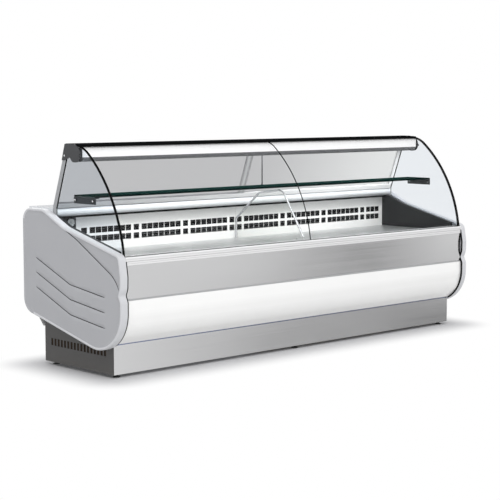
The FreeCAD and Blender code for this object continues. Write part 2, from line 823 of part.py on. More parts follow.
def make_rear_posts():
    foot_drop = 130.0
    foot_z = worktop_height - foot_drop
    lower_y = post_foot_front
    corners = [(lower_y, foot_z, 4), (lower_y + post_span, foot_z, 4), (post_foot_back, worktop_height),
               (canopy_back, canopy_underside), (canopy_back - post_span, canopy_underside),
               (post_foot_front, worktop_height)]
    return both_ends(prism(corners, -half, -half + post_thickness))


# ---- canopy ----
housing_front = bend_centre[0] - 46.4
housing_back = canopy_front + 46.0
housing_top = canopy_underside - 6.0
housing_split = housing_top - 57.0
housing_bottom = housing_top - 85.0
housing_wall = 2.5
housing_bend = 4.0
gasket_width = 14.0
cap_half = half - gasket_width - seam
lamp_spot = (housing_front + 32.0, housing_top - 34.0)
lamp_radius = 13.0
rod_spot = (8.0, housing_front + 58.0)
rod_radius = 4.0
hanger_gap = 0.5


def clamp_starts():
    """Lower X of each hinge clamp: two on each pane."""
    left = (-half + pane_gap / 2, -pane_gap / 2 - clamp_length)
    return left + tuple(-x - clamp_length for x in left)


def make_canopy_profile():
    bar = prism([(canopy_front, canopy_underside, 3), (canopy_back, canopy_underside, 2),
                 (canopy_back, canopy_height, 5), (canopy_front, canopy_height, 3)], -half, half)
    tools = []
    for x in clamp_starts():
        notch_x0 = x - seam if x > -half + 5 else -half - 1
        notch_x1 = x + clamp_length + seam if x + clamp_length < half - 5 else half + 1
        tools.append(box(notch_x0, notch_x1, canopy_front - 1, hinge_spot[0] + hinge_barrel_radius + seam,
                         canopy_underside - 1, canopy_height + 1))
    for low, high in hinge_pin_spans():
        tools.append(box(low, high, hinge_spot[0] - hinge_pin_radius, hinge_spot[0] + hinge_pin_radius,
                         canopy_underside - 1, hinge_spot[1] + hinge_pin_radius))
    return bar.cut(tools)


def hinge_pin_spans():
    """First and last X of each hinge pin, which lies in a slot milled up into the canopy."""
    return [(max(x - pin_reach, 1 - half), min(x + clamp_length + pin_reach, half - 1))
            for x in clamp_starts()]


def make_hinge_pins():
    return Part.makeCompound([faceted(hinge_pin_radius, V(low, *hinge_spot), V(high, *hinge_spot), 8)
                              for low, high in hinge_pin_spans()])


def make_clamp(x):
    """Two jaws round the glass edge and a barrel on the hinge pin."""
    reach = math.degrees(clamp_grip / glass_bend_radius)
    jaws = along(glass_band(-clamp_jaw, glass + clamp_jaw, 90.0 - reach), x, x + clamp_length)
    low = glass_top - glass - clamp_jaw
    neck = box(x, x + clamp_length, bend_centre[0], hinge_spot[0], low, glass_top + clamp_jaw)
    barrel = faceted(hinge_barrel_radius, V(x, *hinge_spot), V(x + clamp_length, *hinge_spot), 16)
    pane = along(glass_band(0.0, glass), x - 1, x + clamp_length + 1)
    bore = faceted(hinge_pin_radius + bore_gap, V(x - 1, *hinge_spot),
                   V(x + clamp_length + 1, *hinge_spot), 8, True)
    return jaws.fuse([neck, barrel]).cut([pane, bore]).removeSplitter()


def make_glass_clamps(side):
    starts = clamp_starts()
    picked = starts[:2] if side < 0 else starts[2:]
    return Part.makeCompound([make_clamp(x) for x in picked])


def make_front_glass(side):
    inner = pane_gap / 2
    outer = half - pane_gap / 2
    x0, x1 = (-outer, -inner) if side < 0 else (inner, outer)
    return along(glass_band(0.0, glass), x0, x1)


plug_depth = 8.0
cap_plate = 6.0
cap_knob = 8.0


def hanger_hole(low, high):
    return faceted(rod_radius + hanger_gap, V(*rod_spot, low), V(*rod_spot, high), 12, True)


def make_light_housing():
    outer = [(housing_front, housing_split), (housing_front, housing_top, 6), (housing_back, housing_top, 6),
             (housing_back, housing_split), (housing_back - housing_wall, housing_split),
             (housing_back - housing_wall, housing_top - housing_wall, housing_bend),
             (housing_front + housing_wall, housing_top - housing_wall, housing_bend),
             (housing_front + housing_wall, housing_split)]
    shell = prism(outer, -cap_half, cap_half)
    spine = box(-cap_half, cap_half, canopy_front + 22, canopy_front + 42, housing_top - 1, canopy_underside)
    return fuse(shell, spine)


def make_light_diffuser():
    path = [(housing_back - 0.5, housing_split, 0), (housing_back - 0.5, housing_split - 8, 8),
            (housing_back - 42, housing_bottom, 14), (housing_front + 12, housing_bottom + 2, 10),
            (housing_front + 0.5, housing_split - 8, 4), (housing_front + 0.5, housing_split, 0)]
    cover = folded(path[::-1], -cap_half, cap_half, 2.0)
    return cover.cut(hanger_hole(housing_bottom - 10, housing_split + 5))


def make_light_tube():
    y, z = lamp_spot
    x1 = cap_half - plug_depth
    glass_tube = rod(lamp_radius, V(-x1 + 24, y, z), V(x1 - 24, y, z))
    holders = [box(x, x + 24, y - 16, y + 16, z - 16, housing_top - housing_wall) for x in (-x1, x1 - 24)]
    return fuse(glass_tube, *holders)


def make_canopy_end_caps():
    """Plate over the post top and light on each side glass, and a plug in each end of the light housing."""
    y0 = housing_front - 6
    post_low = housing_bottom + 6
    post_rear = leaned(post_width, leaned_up(post_width, post_low))
    post_front = leaned(0, leaned_up(0, post_low + 4))
    corners = [(canopy_back, canopy_height - 2, 6), (*post_rear, 3), (*post_front, 3),
               (housing_back + 2, housing_split - 2), (housing_back - 30, housing_bottom - 4, 36),
               (y0 + 2, housing_bottom + 2, 40), (y0 + 4, housing_top - 8, 46),
               (canopy_front, canopy_height - 2, 10)]
    plate = prism(corners, -half - cap_plate, -half)
    inset = housing_wall + housing_bend
    plug = box(-half + glass, -cap_half + plug_depth, housing_front + inset, housing_back - inset,
               housing_split + 2, housing_top - housing_wall)
    knob_at = V(-half - cap_plate, y0 + 9, housing_split + 12)
    knob = faceted(cap_knob, knob_at, knob_at - V(cap_knob, 0, 0), 16)
    return Part.makeCompound([fuse(plate, knob), plug, mirrored(fuse(plate, knob)), mirrored(plug)])


# ---- shelf ----
shelf_front = rod_spot[1] - hanger_setback
shelf_back = shelf_front + shelf_depth
bracket_plate = 6.0
bracket_ledge = 24.0
screw_radius = 4.0


def make_shelf_brackets():
    x0 = -half + glass
    plate = box(x0, x0 + bracket_plate, shelf_front, shelf_back, shelf_underside - bracket_height,
                shelf_underside)
    ledge = box(x0, x0 + bracket_plate + bracket_ledge, shelf_front, shelf_back,
                shelf_underside - bracket_plate, shelf_underside)
    return both_ends(fuse(plate, ledge))


def make_shelf_glass():
    x1 = half - glass - 2
    pane = box(-x1, x1, shelf_front, shelf_back, shelf_underside, shelf_underside + shelf_thickness)
    return pane.cut(hanger_hole(shelf_underside - 1, shelf_underside + shelf_thickness + 1))


hanger_nut = 13.0
low_nut = 9.0
high_nut = 5.0


def make_shelf_hanger_rod():
    x, y = rod_spot
    low = shelf_underside - low_nut
    shelf_top = shelf_underside + shelf_thickness
    stem = faceted(rod_radius, V(x, y, low), V(x, y, housing_top - housing_wall), 12)
    nuts = [hexagon(hanger_nut, V(x, y, low), V(x, y, shelf_underside)),
            hexagon(hanger_nut, V(x, y, shelf_top), V(x, y, shelf_top + high_nut))]
    return fuse(stem, *nuts)


def make_screws():
    """Bracket screws on the side glasses and the post screws on the end plates, on both ends."""
    heads = []
    z = shelf_underside - bracket_height / 2
    for y in (shelf_front + 18, shelf_back - 18):
        heads.append(hexagon(2 * screw_radius, V(-half + glass + bracket_plate, y, z),
                             V(-half + glass + bracket_plate + 3, y, z)))
        heads.append(hexagon(2 * screw_radius + 2, V(-half - 3, y, z), V(-half, y, z)))
    y, z = leaned(post_width / 2, leaned_up(post_width / 2, housing_split + 6))
    heads.append(hexagon(9, V(-half - 9, y, z), V(-half - 6, y, z)))
    return Part.makeCompound(heads + [mirrored(head) for head in heads])


# ---- worktop, grilles and deck ----
def make_worktop():
    nose = worktop_thickness / 2 - 0.5
    corners = [(worktop_front, worktop_underside, nose), (worktop_back, worktop_underside, 2),
               (worktop_back, worktop_height, 4), (worktop_front, worktop_height, nose)]
    corner = post_foot_back + 1
    ends = [box(x, x + half - well_half, corner, worktop_back, worktop_underside, worktop_height)
            for x in (-half, well_half)]
    return fuse(prism(corners, -lining_outer, lining_outer), *ends)


def make_glass_seals():
    """Rail seal, worktop seal, gaskets on the side glasses' curved edges and strips on the posts."""
    rail = box(-half + 2, half - 2, glass_foot[0] - 4, glass_foot[0] + 12, rail_height, glass_foot[1] - 1.5)
    nose = box(-well_half, well_half, grille_face - 2, grille_face + 4, grille_top, worktop_underside)
    gasket_end = 90.0 - math.degrees(clamp_grip / glass_bend_radius) - 1.5
    gasket = along(glass_band(glass + seam, glass + seam + 5.0, last=gasket_end), -half, -half + gasket_width)
    low = leaned_up(0, worktop_height + 2)
    high = leaned_up(0, canopy_underside - 4)
    strip = prism([leaned(-3, low), leaned(0, low), leaned(0, high), leaned(-3, high)], -half, -half + 8)
    return Part.makeCompound([rail, nose, gasket, mirrored(gasket), strip, mirrored(strip)])


row_step = cell_height + 16.0
slots_top = worktop_underside - 81.0
grille_margin = 12.0
thermometer_width = 156.0


def cell_runs(limit):
    """(first X, number of cells) of each opening from the middle joint outwards."""
    runs = []
    x = grille_margin
    while True:
        for count in (1, 7):
            fitting = min(count, int((limit - 14 - x) // (cell + cell_bar)))
            if fitting < 1:
                return runs
            runs.append((x, fitting))
            x += fitting * (cell + cell_bar) - cell_bar + grille_post


def grille_panel(limit):
    """Right-hand half of the rear air grille, from the middle joint to its outer limit."""
    path = [(grille_face - 20, ledge_height, 0), (grille_face, ledge_height, 0),
            (grille_face, grille_top, 0)]
    panel = folded(path[::-1], seam, limit)
    holes = []
    for x, count in cell_runs(limit):
        for i in range(count):
            x0 = x + i * (cell + cell_bar)
            for row in range(grille_rows):
                top = slots_top - row * row_step
                holes.append(box(x0, x0 + cell, grille_face - 2, grille_face + 3, top - cell_height, top))
    return panel.cut(holes)


def make_air_grille():
    left = mirrored(grille_panel(well_half - thermometer_width))
    return Part.makeCompound([left, grille_panel(well_half)])


baffle_rows = 4
baffle_bays = 6


def make_air_grille_mesh():
    """Dark slotted baffle behind the air grille."""
    low = slots_top - (grille_rows - 1) * row_step - cell_height - 8
    y0 = grille_face + sheet
    plate = box(-well_half, well_half, y0, y0 + sheet, low, slots_top + 8)
    slots = []
    pitch = 2 * well_half / baffle_bays
    for i in range(baffle_bays):
        x0 = -well_half + i * pitch + 8
        for row in range(baffle_rows):
            z0 = low + 8 + row * (slots_top - low) / baffle_rows
            slots.append(box(x0, x0 + pitch - 16, y0 - 1, y0 + sheet + 1, z0, z0 + 6))
    return plate.cut(slots)


dial_radius = 26.0
dial_rim = 4.0
dial_rise = 7.0
dial_body = 22.0
dial_sides = 32
dial_inset = 40.0           # panel's edge to the dial's middle
dial_drop = 44.0            # worktop's underside to the dial's middle


def make_thermometer_panel():
    x0 = -well_half
    plate = box(x0, x0 + thermometer_width, grille_face, grille_face + sheet, ledge_height, grille_top)
    return plate.cut(faceted(dial_radius - dial_rim, dial_spot(-5), dial_spot(5), dial_sides))


def dial_spot(behind):
    return V(-well_half + thermometer_width - dial_inset, grille_face + behind, worktop_underside - dial_drop)


def make_thermometer():
    """Dial with a raised rim on the panel's face and its body behind."""
    rim = faceted(dial_radius, dial_spot(-dial_rise), dial_spot(0), dial_sides)
    inner = dial_radius - dial_rim
    face = faceted(inner, dial_spot(-dial_rise - 1), dial_spot(dial_rim - dial_rise), dial_sides)
    body = faceted(inner, dial_spot(-1), dial_spot(dial_body), dial_sides)
    return fuse(rim.cut(face), body)


throat = 54.0               # width of the front air intake
throat_bays = 12


def make_front_air_grille():
    y1 = well_front + throat
    path = [(well_front, deck_height - sheet, 0), (y1, deck_height - sheet, 0), (y1, ledge_height - sheet, 0),
            (y1 + 18, ledge_height - sheet, 0)]
    shape = folded(path, -well_half, well_half)
    slots = []
    pitch = 2 * well_half / throat_bays
    for i in range(throat_bays):
        x0 = -well_half + i * pitch + 10
        for y in (well_front + 12, well_front + 30):
            slots.append(box(x0, x0 + pitch - 20, y, y + 9, deck_height - 4, deck_height + 2))
    return shape.cut(slots)


deck_count = 4


def make_deck_plates():
    y0 = well_front + throat + 2
    y1 = grille_face - 2
    pitch = 2 * well_half / deck_count
    plates = []
    for i in range(deck_count):
        x0 = -well_half + i * pitch + 1
        path = [(y1, ledge_height, 0), (y1, deck_height, 0), (y0, deck_height, 0), (y0, ledge_height, 0)]
        plates.append(folded(path, x0, x0 + pitch - 2))
    return Part.makeCompound(plates)


divider_thickness = 5.0


def make_divider():
    foot_front = glass_foot[0] + 50
    corners = [(foot_front, rail_height + 6, 6), (shelf_front - 36, shelf_underside - 30, 40),
               (shelf_front + 4, shelf_underside - 8, 20), (shelf_back, shelf_underside - 34, 20),
               (grille_face - 2, worktop_underside - 88, 6), (grille_face - 2, deck_height, 4),
               (well_front + 62, deck_height, 4), (well_front + 62, rail_height + 2, 4)]
    return prism(corners, -divider_thickness, 0)


# ---- rear ----
casing_low = 300.0
control_x0 = 900.0
control_x1 = 1230.0
control_drop = 48.0         # worktop's underside to the control panel
control_tall = 110.0
control_high = worktop_underside - control_drop
control_low = control_high - control_tall
control_face = back - 4.0
casing_face = back - 15.0


def make_rear_casing():
    path = [(plinth_back + service_depth + 2, casing_low - 70, 0), (casing_face - 60, casing_low, 40),
            (casing_face, casing_low + 60, 60), (casing_face, worktop_underside, 0),
            (tub_back, worktop_underside, 0)]
    sheet_shape = folded(path, -half, half)
    cut_out = box(control_x0 + 12, control_x1 - 12, casing_face - 10, casing_face + 10,
                  control_low + 12, control_high - 12)
    joint = box(-0.75, 0.75, casing_face - 200, casing_face + 5, casing_low - 80, worktop_underside + 1)
    return sheet_shape.cut([cut_out, joint])


switch_width = 22.0
switch_height = 34.0
switch_z = (control_low + control_high) / 2
power_x = control_x1 - 50.0
light_x = control_x1 - 100.0
knob_x = control_x0 + 70.0
knob_radius = 21.0
knob_edge = 3.0
display_offset = 120.0
display_width = 70.0
display_tall = 32.0
shaft_radius = 3.0
pivot_radius = 1.45


def make_control_panel():
    plate = box(control_x0, control_x1, casing_face, control_face - 4, control_low, control_high)
    tray = box(control_x0 + 14, control_x1 - 14, tub_back, casing_face, control_low + 14, control_high - 14)
    body = fuse(plate, tray)
    tools = []
    for x in (power_x, light_x):
        tools.append(box(x - switch_width / 2 - running, x + switch_width / 2 + running,
                         control_face - 26, control_face, switch_z - switch_height / 2 - 1,
                         switch_z + switch_height / 2 + 1))
        tools.append(faceted(pivot_radius + bore_gap, V(x - switch_width / 2 - 4, rocker_y, switch_z),
                             V(x + switch_width / 2 + 4, rocker_y, switch_z), 8, True))
    tools.append(faceted(shaft_radius + bore_gap, V(knob_x, control_face - 30, switch_z),
                         V(knob_x, control_face, switch_z), 12, True))
    window_x = control_x0 + display_offset
    window = box(window_x, window_x + display_width, control_face - 6, control_face,
                 switch_z - display_tall / 2, switch_z + display_tall / 2)
    return body.cut(tools + [window])


rocker_y = control_face - 12.0


def make_rocker(x):
    """Rocker cap with a dished face, on its two pivot stubs; rests with one end pressed."""
    half_w = switch_width / 2
    half_h = switch_height / 2
    face = control_face - 4
    cap = prism([(rocker_y - 7, switch_z - half_h + 6), (rocker_y - 7, switch_z + half_h - 6),
                 (face - 1, switch_z + half_h), (face + 1, switch_z), (face + 3, switch_z - half_h + 1)],
                x - half_w, x + half_w)
    stub_end = V(x + half_w + 3, rocker_y, switch_z)
    stubs = faceted(pivot_radius, V(x - half_w - 3, rocker_y, switch_z), stub_end, 8)
    return fuse(cap, stubs)


def make_thermostat_knob():
    face = control_face - 4 + running
    shaft = faceted(shaft_radius, V(knob_x, control_face - 28, switch_z), V(knob_x, face + 1, switch_z), 12)
    skirt = faceted(knob_radius, V(knob_x, face, switch_z), V(knob_x, face + 2.5, switch_z), 24)
    reach = knob_radius - knob_edge
    grip = box(knob_x - knob_edge, knob_x + knob_edge, face, control_face + knob_edge,
               switch_z - reach, switch_z + reach)
    return fuse(shaft, skirt, grip)


def door_across(side):
    """Distance of a sliding pane's middle behind the posts' front edges: left pane first."""
    return post_width / 2 + side * door_pitch / 2


track_up = 26.0
track_floor = 8.0
track_drop = 40.0
track_grip = 16.0
track_inset = 2.0
groove_width = door_pane + 2 * running


def leaned_block(near, far, low, high, x0, x1):
    """Bar between two distances across and two up the posts' leaning frame."""
    return prism([leaned(near, low), leaned(far, low), leaned(far, high), leaned(near, high)], x0, x1)


def make_rear_door_tracks():
    """Lower and upper double-groove tracks, following the lean of the posts."""
    near = track_inset
    far = post_width - track_inset
    x1 = half - post_thickness
    top_edge = leaned_up(post_width / 2, canopy_underside)
    low_edge = top_edge - track_drop
    lower = prism([leaned(near, leaned_up(near, worktop_height)), leaned(far, leaned_up(far, worktop_height)),
                   leaned(far, track_up), leaned(near, track_up)], -x1, x1)
    near_top = leaned(near, leaned_up(near, canopy_underside))
    far_top = leaned(far, leaned_up(far, canopy_underside))
    upper = prism([leaned(near, low_edge), leaned(far, low_edge), far_top, near_top], -x1, x1)
    grooves = []
    for side in (-1, 1):
        middle = door_across(side)
        for u0, u1 in ((track_floor, track_up + 1), (low_edge - 1, low_edge + track_grip)):
            grooves.append(leaned_block(middle - groove_width / 2, middle + groove_width / 2, u0, u1,
                                        -x1 - 1, x1 + 1))
    return Part.makeCompound([lower.cut(grooves), upper.cut(grooves)])


def door_limits(side):
    x1 = half - post_thickness - 4
    return (-x1, door_overlap / 2) if side < 0 else (-door_overlap / 2, x1)


def door_slab(side, x0, x1, depth, u0, u1):
    middle = door_across(side)
    return leaned_block(middle - depth / 2, middle + depth / 2, u0, u1, x0, x1)


def make_rear_door(side):
    x0, x1 = door_limits(side)
    low_edge = leaned_up(post_width / 2, canopy_underside) - track_drop
    return door_slab(side, x0 + 2, x1 - 2, door_pane, track_floor + running,
                     low_edge + track_grip - running)


stile_width = 8.0
stile_depth = 9.0
finger_lip = 3.5
lip_width = 5.0


def make_rear_door_stiles(side):
    """Edge profiles of a sliding pane; the outer one carries a finger lip."""
    x0, x1 = door_limits(side)
    low = track_up + 1
    high = leaned_up(post_width / 2, canopy_underside) - track_drop - 1
    pane = door_slab(side, x0 + 2, x1 - 2, door_pane, low - 1, high + 1)
    stiles = [door_slab(side, x0, x0 + stile_width, stile_depth, low, high),
              door_slab(side, x1 - stile_width, x1, stile_depth, low, high)]
    root = door_across(side) + stile_depth / 2
    tip = root + finger_lip
    lip_x = x0 + stile_width - lip_width if side < 0 else x1 - stile_width
    lip = prism([leaned(root, low), leaned(tip, low + 3), leaned(tip, high - 3), leaned(root, high)],
                lip_x, lip_x + lip_width)
    outer = 0 if side < 0 else 1
    stiles[outer] = fuse(stiles[outer], lip)
    return Part.makeCompound([stile.cut(pane) for stile in stiles])


# ---- all nodes ----
end_panel = make_end_panel()
nodes = {
    "base_frame": make_base_frame(),
    "levelling_feet": make_levelling_feet(),
    "kick_plate": make_kick_plate(),
    "plinth_sides": make_plinth_sides(),
    "rear_service_grille": make_rear_service_grille(),
    "unit_tray": make_unit_tray(),
    "compressor": make_compressor(),
    "condenser": make_condenser(),
    "condenser_fan_shroud": make_condenser_fan_shroud(),
    "condenser_fan": make_condenser_fan(),
    "refrigerant_pipes": make_refrigerant_pipes(),
    "drain_pan": make_drain_pan(),
    "insulated_tub": make_insulated_tub(),
    "tub_liner": make_tub_liner(),
    "front_upper_panel": make_front_upper_panel(),
    "front_lower_panel": make_front_lower_panel(),
    "panel_strips": make_panel_strips(),
    "front_rail": make_front_rail(),
    "end_panel_left": end_panel,
    "end_panel_right": mirrored(end_panel),
    "end_linings": make_end_linings(),
    "rear_casing": make_rear_casing(),
    "worktop": make_worktop(),
    "deck_plates": make_deck_plates(),
    "front_air_grille": make_front_air_grille(),
    "air_grille": make_air_grille(),
    "air_grille_mesh": make_air_grille_mesh(),
    "evaporator": make_evaporator(),
    "evaporator_fan_plate": make_evaporator_fan_plate(),
    "evaporator_fan_left": make_evaporator_fan(-well_fan_x),
    "evaporator_fan_right": make_evaporator_fan(well_fan_x),
    "thermometer_panel": make_thermometer_panel(),
    "thermometer": make_thermometer(),
    "divider": make_divider(),
    "rear_posts": make_rear_posts(),
    "canopy_profile": make_canopy_profile(),
    "light_housing": make_light_housing(),
    "light_tube": make_light_tube(),
    "light_diffuser": make_light_diffuser(),
    "canopy_end_caps": make_canopy_end_caps(),
    "hinge_pins": make_hinge_pins(),
    "glass_clamps_left": make_glass_clamps(-1),
    "glass_clamps_right": make_glass_clamps(1),
    "front_glass_left": make_front_glass(-1),
    "front_glass_right": make_front_glass(1),
    "side_glasses": make_side_glasses(),
    "glass_seals": make_glass_seals(),
    "shelf_glass": make_shelf_glass(),
    "shelf_brackets": make_shelf_brackets(),
    "shelf_hanger_rod": make_shelf_hanger_rod(),
    "screws": make_screws(),
    "rear_door_tracks": make_rear_door_tracks(),
    "rear_door_left": make_rear_door(-1),
    "rear_door_right": make_rear_door(1),
    "rear_door_left_stiles": make_rear_door_stiles(-1),
    "rear_door_right_stiles": make_rear_door_stiles(1),
    "control_panel": make_control_panel(),
    "thermostat_knob": make_thermostat_knob(),
    "power_switch": make_rocker(power_x),
    "light_switch": make_rocker(light_x),
}

os.makedirs("parts", exist_ok=True)
for name, shape in nodes.items():
    shape.exportStep("parts/" + name + ".step")
print(len(nodes), "nodes written")
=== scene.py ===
import json
import math

import bmesh
import bpy
import numpy as np
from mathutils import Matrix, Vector
from mathutils.geometry import delaunay_2d_cdt


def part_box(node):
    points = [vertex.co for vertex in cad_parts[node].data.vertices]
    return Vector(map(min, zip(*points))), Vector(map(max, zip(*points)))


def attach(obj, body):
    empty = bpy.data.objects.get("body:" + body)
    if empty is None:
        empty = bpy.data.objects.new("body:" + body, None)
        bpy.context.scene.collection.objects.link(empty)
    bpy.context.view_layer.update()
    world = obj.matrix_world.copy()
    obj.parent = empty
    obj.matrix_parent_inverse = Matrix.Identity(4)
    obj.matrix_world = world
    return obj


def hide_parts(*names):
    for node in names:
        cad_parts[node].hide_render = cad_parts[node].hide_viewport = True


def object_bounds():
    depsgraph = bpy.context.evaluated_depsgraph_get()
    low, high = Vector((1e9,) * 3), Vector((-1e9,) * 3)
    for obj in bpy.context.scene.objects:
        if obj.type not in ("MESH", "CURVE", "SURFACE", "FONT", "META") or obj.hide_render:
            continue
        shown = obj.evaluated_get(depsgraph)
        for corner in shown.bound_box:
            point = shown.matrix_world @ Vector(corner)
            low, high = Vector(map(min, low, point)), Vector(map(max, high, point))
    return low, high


# Looks of a refrigerated serve-over deli case. Metres, +Z up, X along the case, customer's side at -Y.

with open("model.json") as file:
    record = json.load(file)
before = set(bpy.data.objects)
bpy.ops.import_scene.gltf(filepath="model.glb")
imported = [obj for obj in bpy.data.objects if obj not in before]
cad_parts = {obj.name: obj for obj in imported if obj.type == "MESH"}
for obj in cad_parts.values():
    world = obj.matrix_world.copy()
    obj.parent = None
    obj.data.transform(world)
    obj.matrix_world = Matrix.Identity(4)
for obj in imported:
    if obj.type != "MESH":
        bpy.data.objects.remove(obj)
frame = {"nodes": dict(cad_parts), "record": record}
bpy.context.view_layer.update()
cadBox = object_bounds()
record = frame["record"]
print("frame loaded:", len(frame["nodes"]), "nodes")


def linear(red, green, blue):
    # screen colour of 0 to 255 turned into the linear colour that a shader takes
    parts = np.array((red, green, blue)) / 255.0
    curved = ((parts + 0.055) / 1.055) ** 2.4
    return (*[float(part) for part in np.where(parts <= 0.04045, parts / 12.92, curved)], 1.0)


class Wire:
    # one node's output; arithmetic on it adds Math nodes to the finish that it belongs to
    def __init__(self, finish, socket):
        self.finish = finish
        self.socket = socket

    def __add__(self, other):
        return self.finish.maths("ADD", self, other)

    def __radd__(self, other):
        return self.finish.maths("ADD", other, self)

    def __sub__(self, other):
        return self.finish.maths("SUBTRACT", self, other)

    def __rsub__(self, other):
        return self.finish.maths("SUBTRACT", other, self)

    def __mul__(self, other):
        return self.finish.maths("MULTIPLY", self, other)

    def __rmul__(self, other):
        return self.finish.maths("MULTIPLY", other, self)

    def __abs__(self):
        return self.finish.maths("ABSOLUTE", self)


class Finish:
    # the node tree of one material or world while it is put together
    def __init__(self, owner):
        owner.use_nodes = True
        self.owner = owner
        self.tree = owner.node_tree
        self.tree.nodes.clear()

    def node(self, kind, settings=None, sockets=None, output=0):
        made = self.tree.nodes.new("ShaderNode" + kind)
        for name, value in (settings or {}).items():
            if name == "stops":
                self.setStops(made.color_ramp, value)
            else:
                setattr(made, name, value)
        for name, value in (sockets or {}).items():
            if isinstance(value, Wire):
                self.tree.links.new(value.socket, made.inputs[name])
            else:
                made.inputs[name].default_value = value
        return Wire(self, made.outputs[output] if len(made.outputs) else None)

    def setStops(self, ramp, stops):
        while len(ramp.elements) < len(stops):
            ramp.elements.new(0.5)
        for element, (position, colour) in zip(ramp.elements, stops):
            element.position = position
            element.color = colour

    def maths(self, operation, *values):
        return self.node("Math", {"operation": operation}, dict(enumerate(values)))

    def between(self, value, low, high):
        # 0 below low, 1 above high and smooth in the middle
        return self.node("MapRange", {"interpolation_type": "SMOOTHSTEP"},
                         {"Value": value, "From Min": low, "From Max": high})

    def blendColour(self, factor, first, second, way="MIX"):
        return self.node("Mix", {"data_type": "RGBA", "blend_type": way},
                         {0: factor, 6: first, 7: second}, output=2)

    def place(self, scale=(1.0, 1.0, 1.0)):
        spot = self.node("TexCoord", output="Object")
        return self.node("Mapping", {}, {"Vector": spot, "Scale": scale})

    def noise(self, where, scale, detail=3.0):
        return self.node("TexNoise", {}, {"Vector": where, "Scale": scale, "Detail": detail})

    def axis(self, vector, name):
        return self.node("SeparateXYZ", {}, {"Vector": vector}, output=name)

    def softEdges(self, radius):
        # the normal, with every edge rounded by this radius
        return self.node("Bevel", {"samples": 4}, {"Radius": radius})

    def bump(self, height, strength, distance, normal=None):
        sockets = {"Height": height, "Strength": strength, "Distance": distance}
        if normal is not None:
            sockets["Normal"] = normal
        return self.node("Bump", {}, sockets)

    def shine(self, look, colour, roughness, normal):
        sockets = {"Base Color": colour, "Roughness": roughness, "Normal": normal,
                   "Metallic": look.get("metallic", 0.0), "Specular IOR Level": look.get("specular", 0.5)}
        if "glow" in look:
            sockets["Emission Color"] = colour
            sockets["Emission Strength"] = look["glow"]
        if "coat" in look:
            sockets["Coat Weight"] = look["coat"]
            sockets["Coat Roughness"] = look["coatRoughness"]
        return self.node("BsdfPrincipled", {}, sockets)

    def close(self, shader):
        kind = "OutputWorld" if isinstance(self.owner, bpy.types.World) else "OutputMaterial"
        self.node(kind, {}, {"Surface": shader})
        return self.owner


def newFinish(name):
    return Finish(bpy.data.materials.new(name))


# Finishes.
# Values that no look changes: scales of the patterns, and how far they stand proud, in metres.
usual = {
    "blotch": (1.0, 2.5, 2.5), "blotchScale": 2.2, "peelScale": 420.0, "cloudScale": 3.0, "flowScale": 5.0,
    "smear": (1.5, 1.5, 6.0), "grainRise": 0.0004, "peelRise": 0.0003, "mouldRise": 0.0002,
    "grimeTop": 0.12, "grimeTone": linear(92, 88, 82), "finShade": linear(168, 170, 172),
    "paneMirror": linear(238, 239, 239), "filmShare": 0.8, "lappedShare": 0.4, "lap": (0.018, 0.0205),
    "borderFade": 0.0008}
steelGrain = (0.5, 90.0, 260.0)
alongX, alongY, alongZ, towardsFront = (1.0, 0.0, 0.0), (0.0, 1.0, 0.0), (0.0, 0.0, 1.0), (0.0, -1.0, 0.0)


# Sheet metal: fine grain drawn out along one axis, slow blotches of polish, softened edges.
def drawnMetal(name, look):
    finish = newFinish(name)
    grain = finish.noise(finish.place(look["grain"]), look.get("grainScale", 1.0), 4.0)
    blotch = finish.noise(finish.place(usual["blotch"]), usual["blotchScale"], 2.0)
    shade = 1.0 + (grain - 0.5) * look["streak"] + (blotch - 0.5) * look["cloud"]
    colour = finish.blendColour(1.0, look["colour"], finish.node(
        "CombineXYZ", {}, {"X": shade, "Y": shade, "Z": shade}), "MULTIPLY")
    if "lines" in look:  # shadow lines along the case at these heights
        height = finish.axis(finish.place(), "Z")
        lines = 0.0
        for level, half in look["lines"]:
            line = 1.0 - finish.between(abs(height - level), half * 0.5, half)
            lines = finish.maths("MAXIMUM", lines, line)
        colour = finish.blendColour(lines * look.get("lineDepth", 0.6), colour, look["lineColour"])
    roughness = look["roughness"] + (grain - 0.5) * look["streak"] + (blotch - 0.5) * 0.06
    edges = finish.softEdges(look.get("edge", 0.0015))
    normal = finish.bump(grain, look["relief"], usual["grainRise"], edges)
    return finish.close(finish.shine({"metallic": 1.0, **look}, colour, roughness, normal))


# Stove enamel and powder paint: a faint orange peel, slightly uneven gloss, thin grime near the floor.
def paintCoat(name, look):
    finish = newFinish(name)
    where = finish.place()
    peel = finish.noise(where, usual["peelScale"], 2.0)
    cloud = finish.noise(where, usual["cloudScale"], 3.0)
    tone = finish.blendColour(cloud, look["colour"], look["shade"])
    low = 1.0 - finish.between(finish.axis(where, "Z"), 0.0, usual["grimeTop"])
    grime = low * cloud * look.get("grime", 0.0)
    colour = finish.blendColour(grime, tone, usual["grimeTone"])
    roughness = look["roughness"] + (cloud - 0.5) * 0.1 + grime * 0.3
    edges = finish.softEdges(look.get("edge", 0.0015))
    normal = finish.bump(peel, look["relief"], usual["peelRise"], edges)
    return finish.close(finish.shine(look, colour, roughness, normal))


# Moulded plastic: spark-eroded grain in the bump, with a faint flow of tone.
def mouldedPlastic(name, look):
    finish = newFinish(name)
    where = finish.place()
    grain = finish.node("TexVoronoi", {}, {"Vector": where, "Scale": look.get("grainScale", 900.0)})
    flow = finish.noise(where, usual["flowScale"], 2.0)
    colour = finish.blendColour(flow, look["colour"], look["shade"])
    roughness = look["roughness"] + (flow - 0.5) * 0.08 + grain * 0.05
    edges = finish.softEdges(look.get("edge", 0.0012))
    normal = finish.bump(grain, look["relief"], usual["mouldRise"], edges)
    return finish.close(finish.shine(look, colour, roughness, normal))


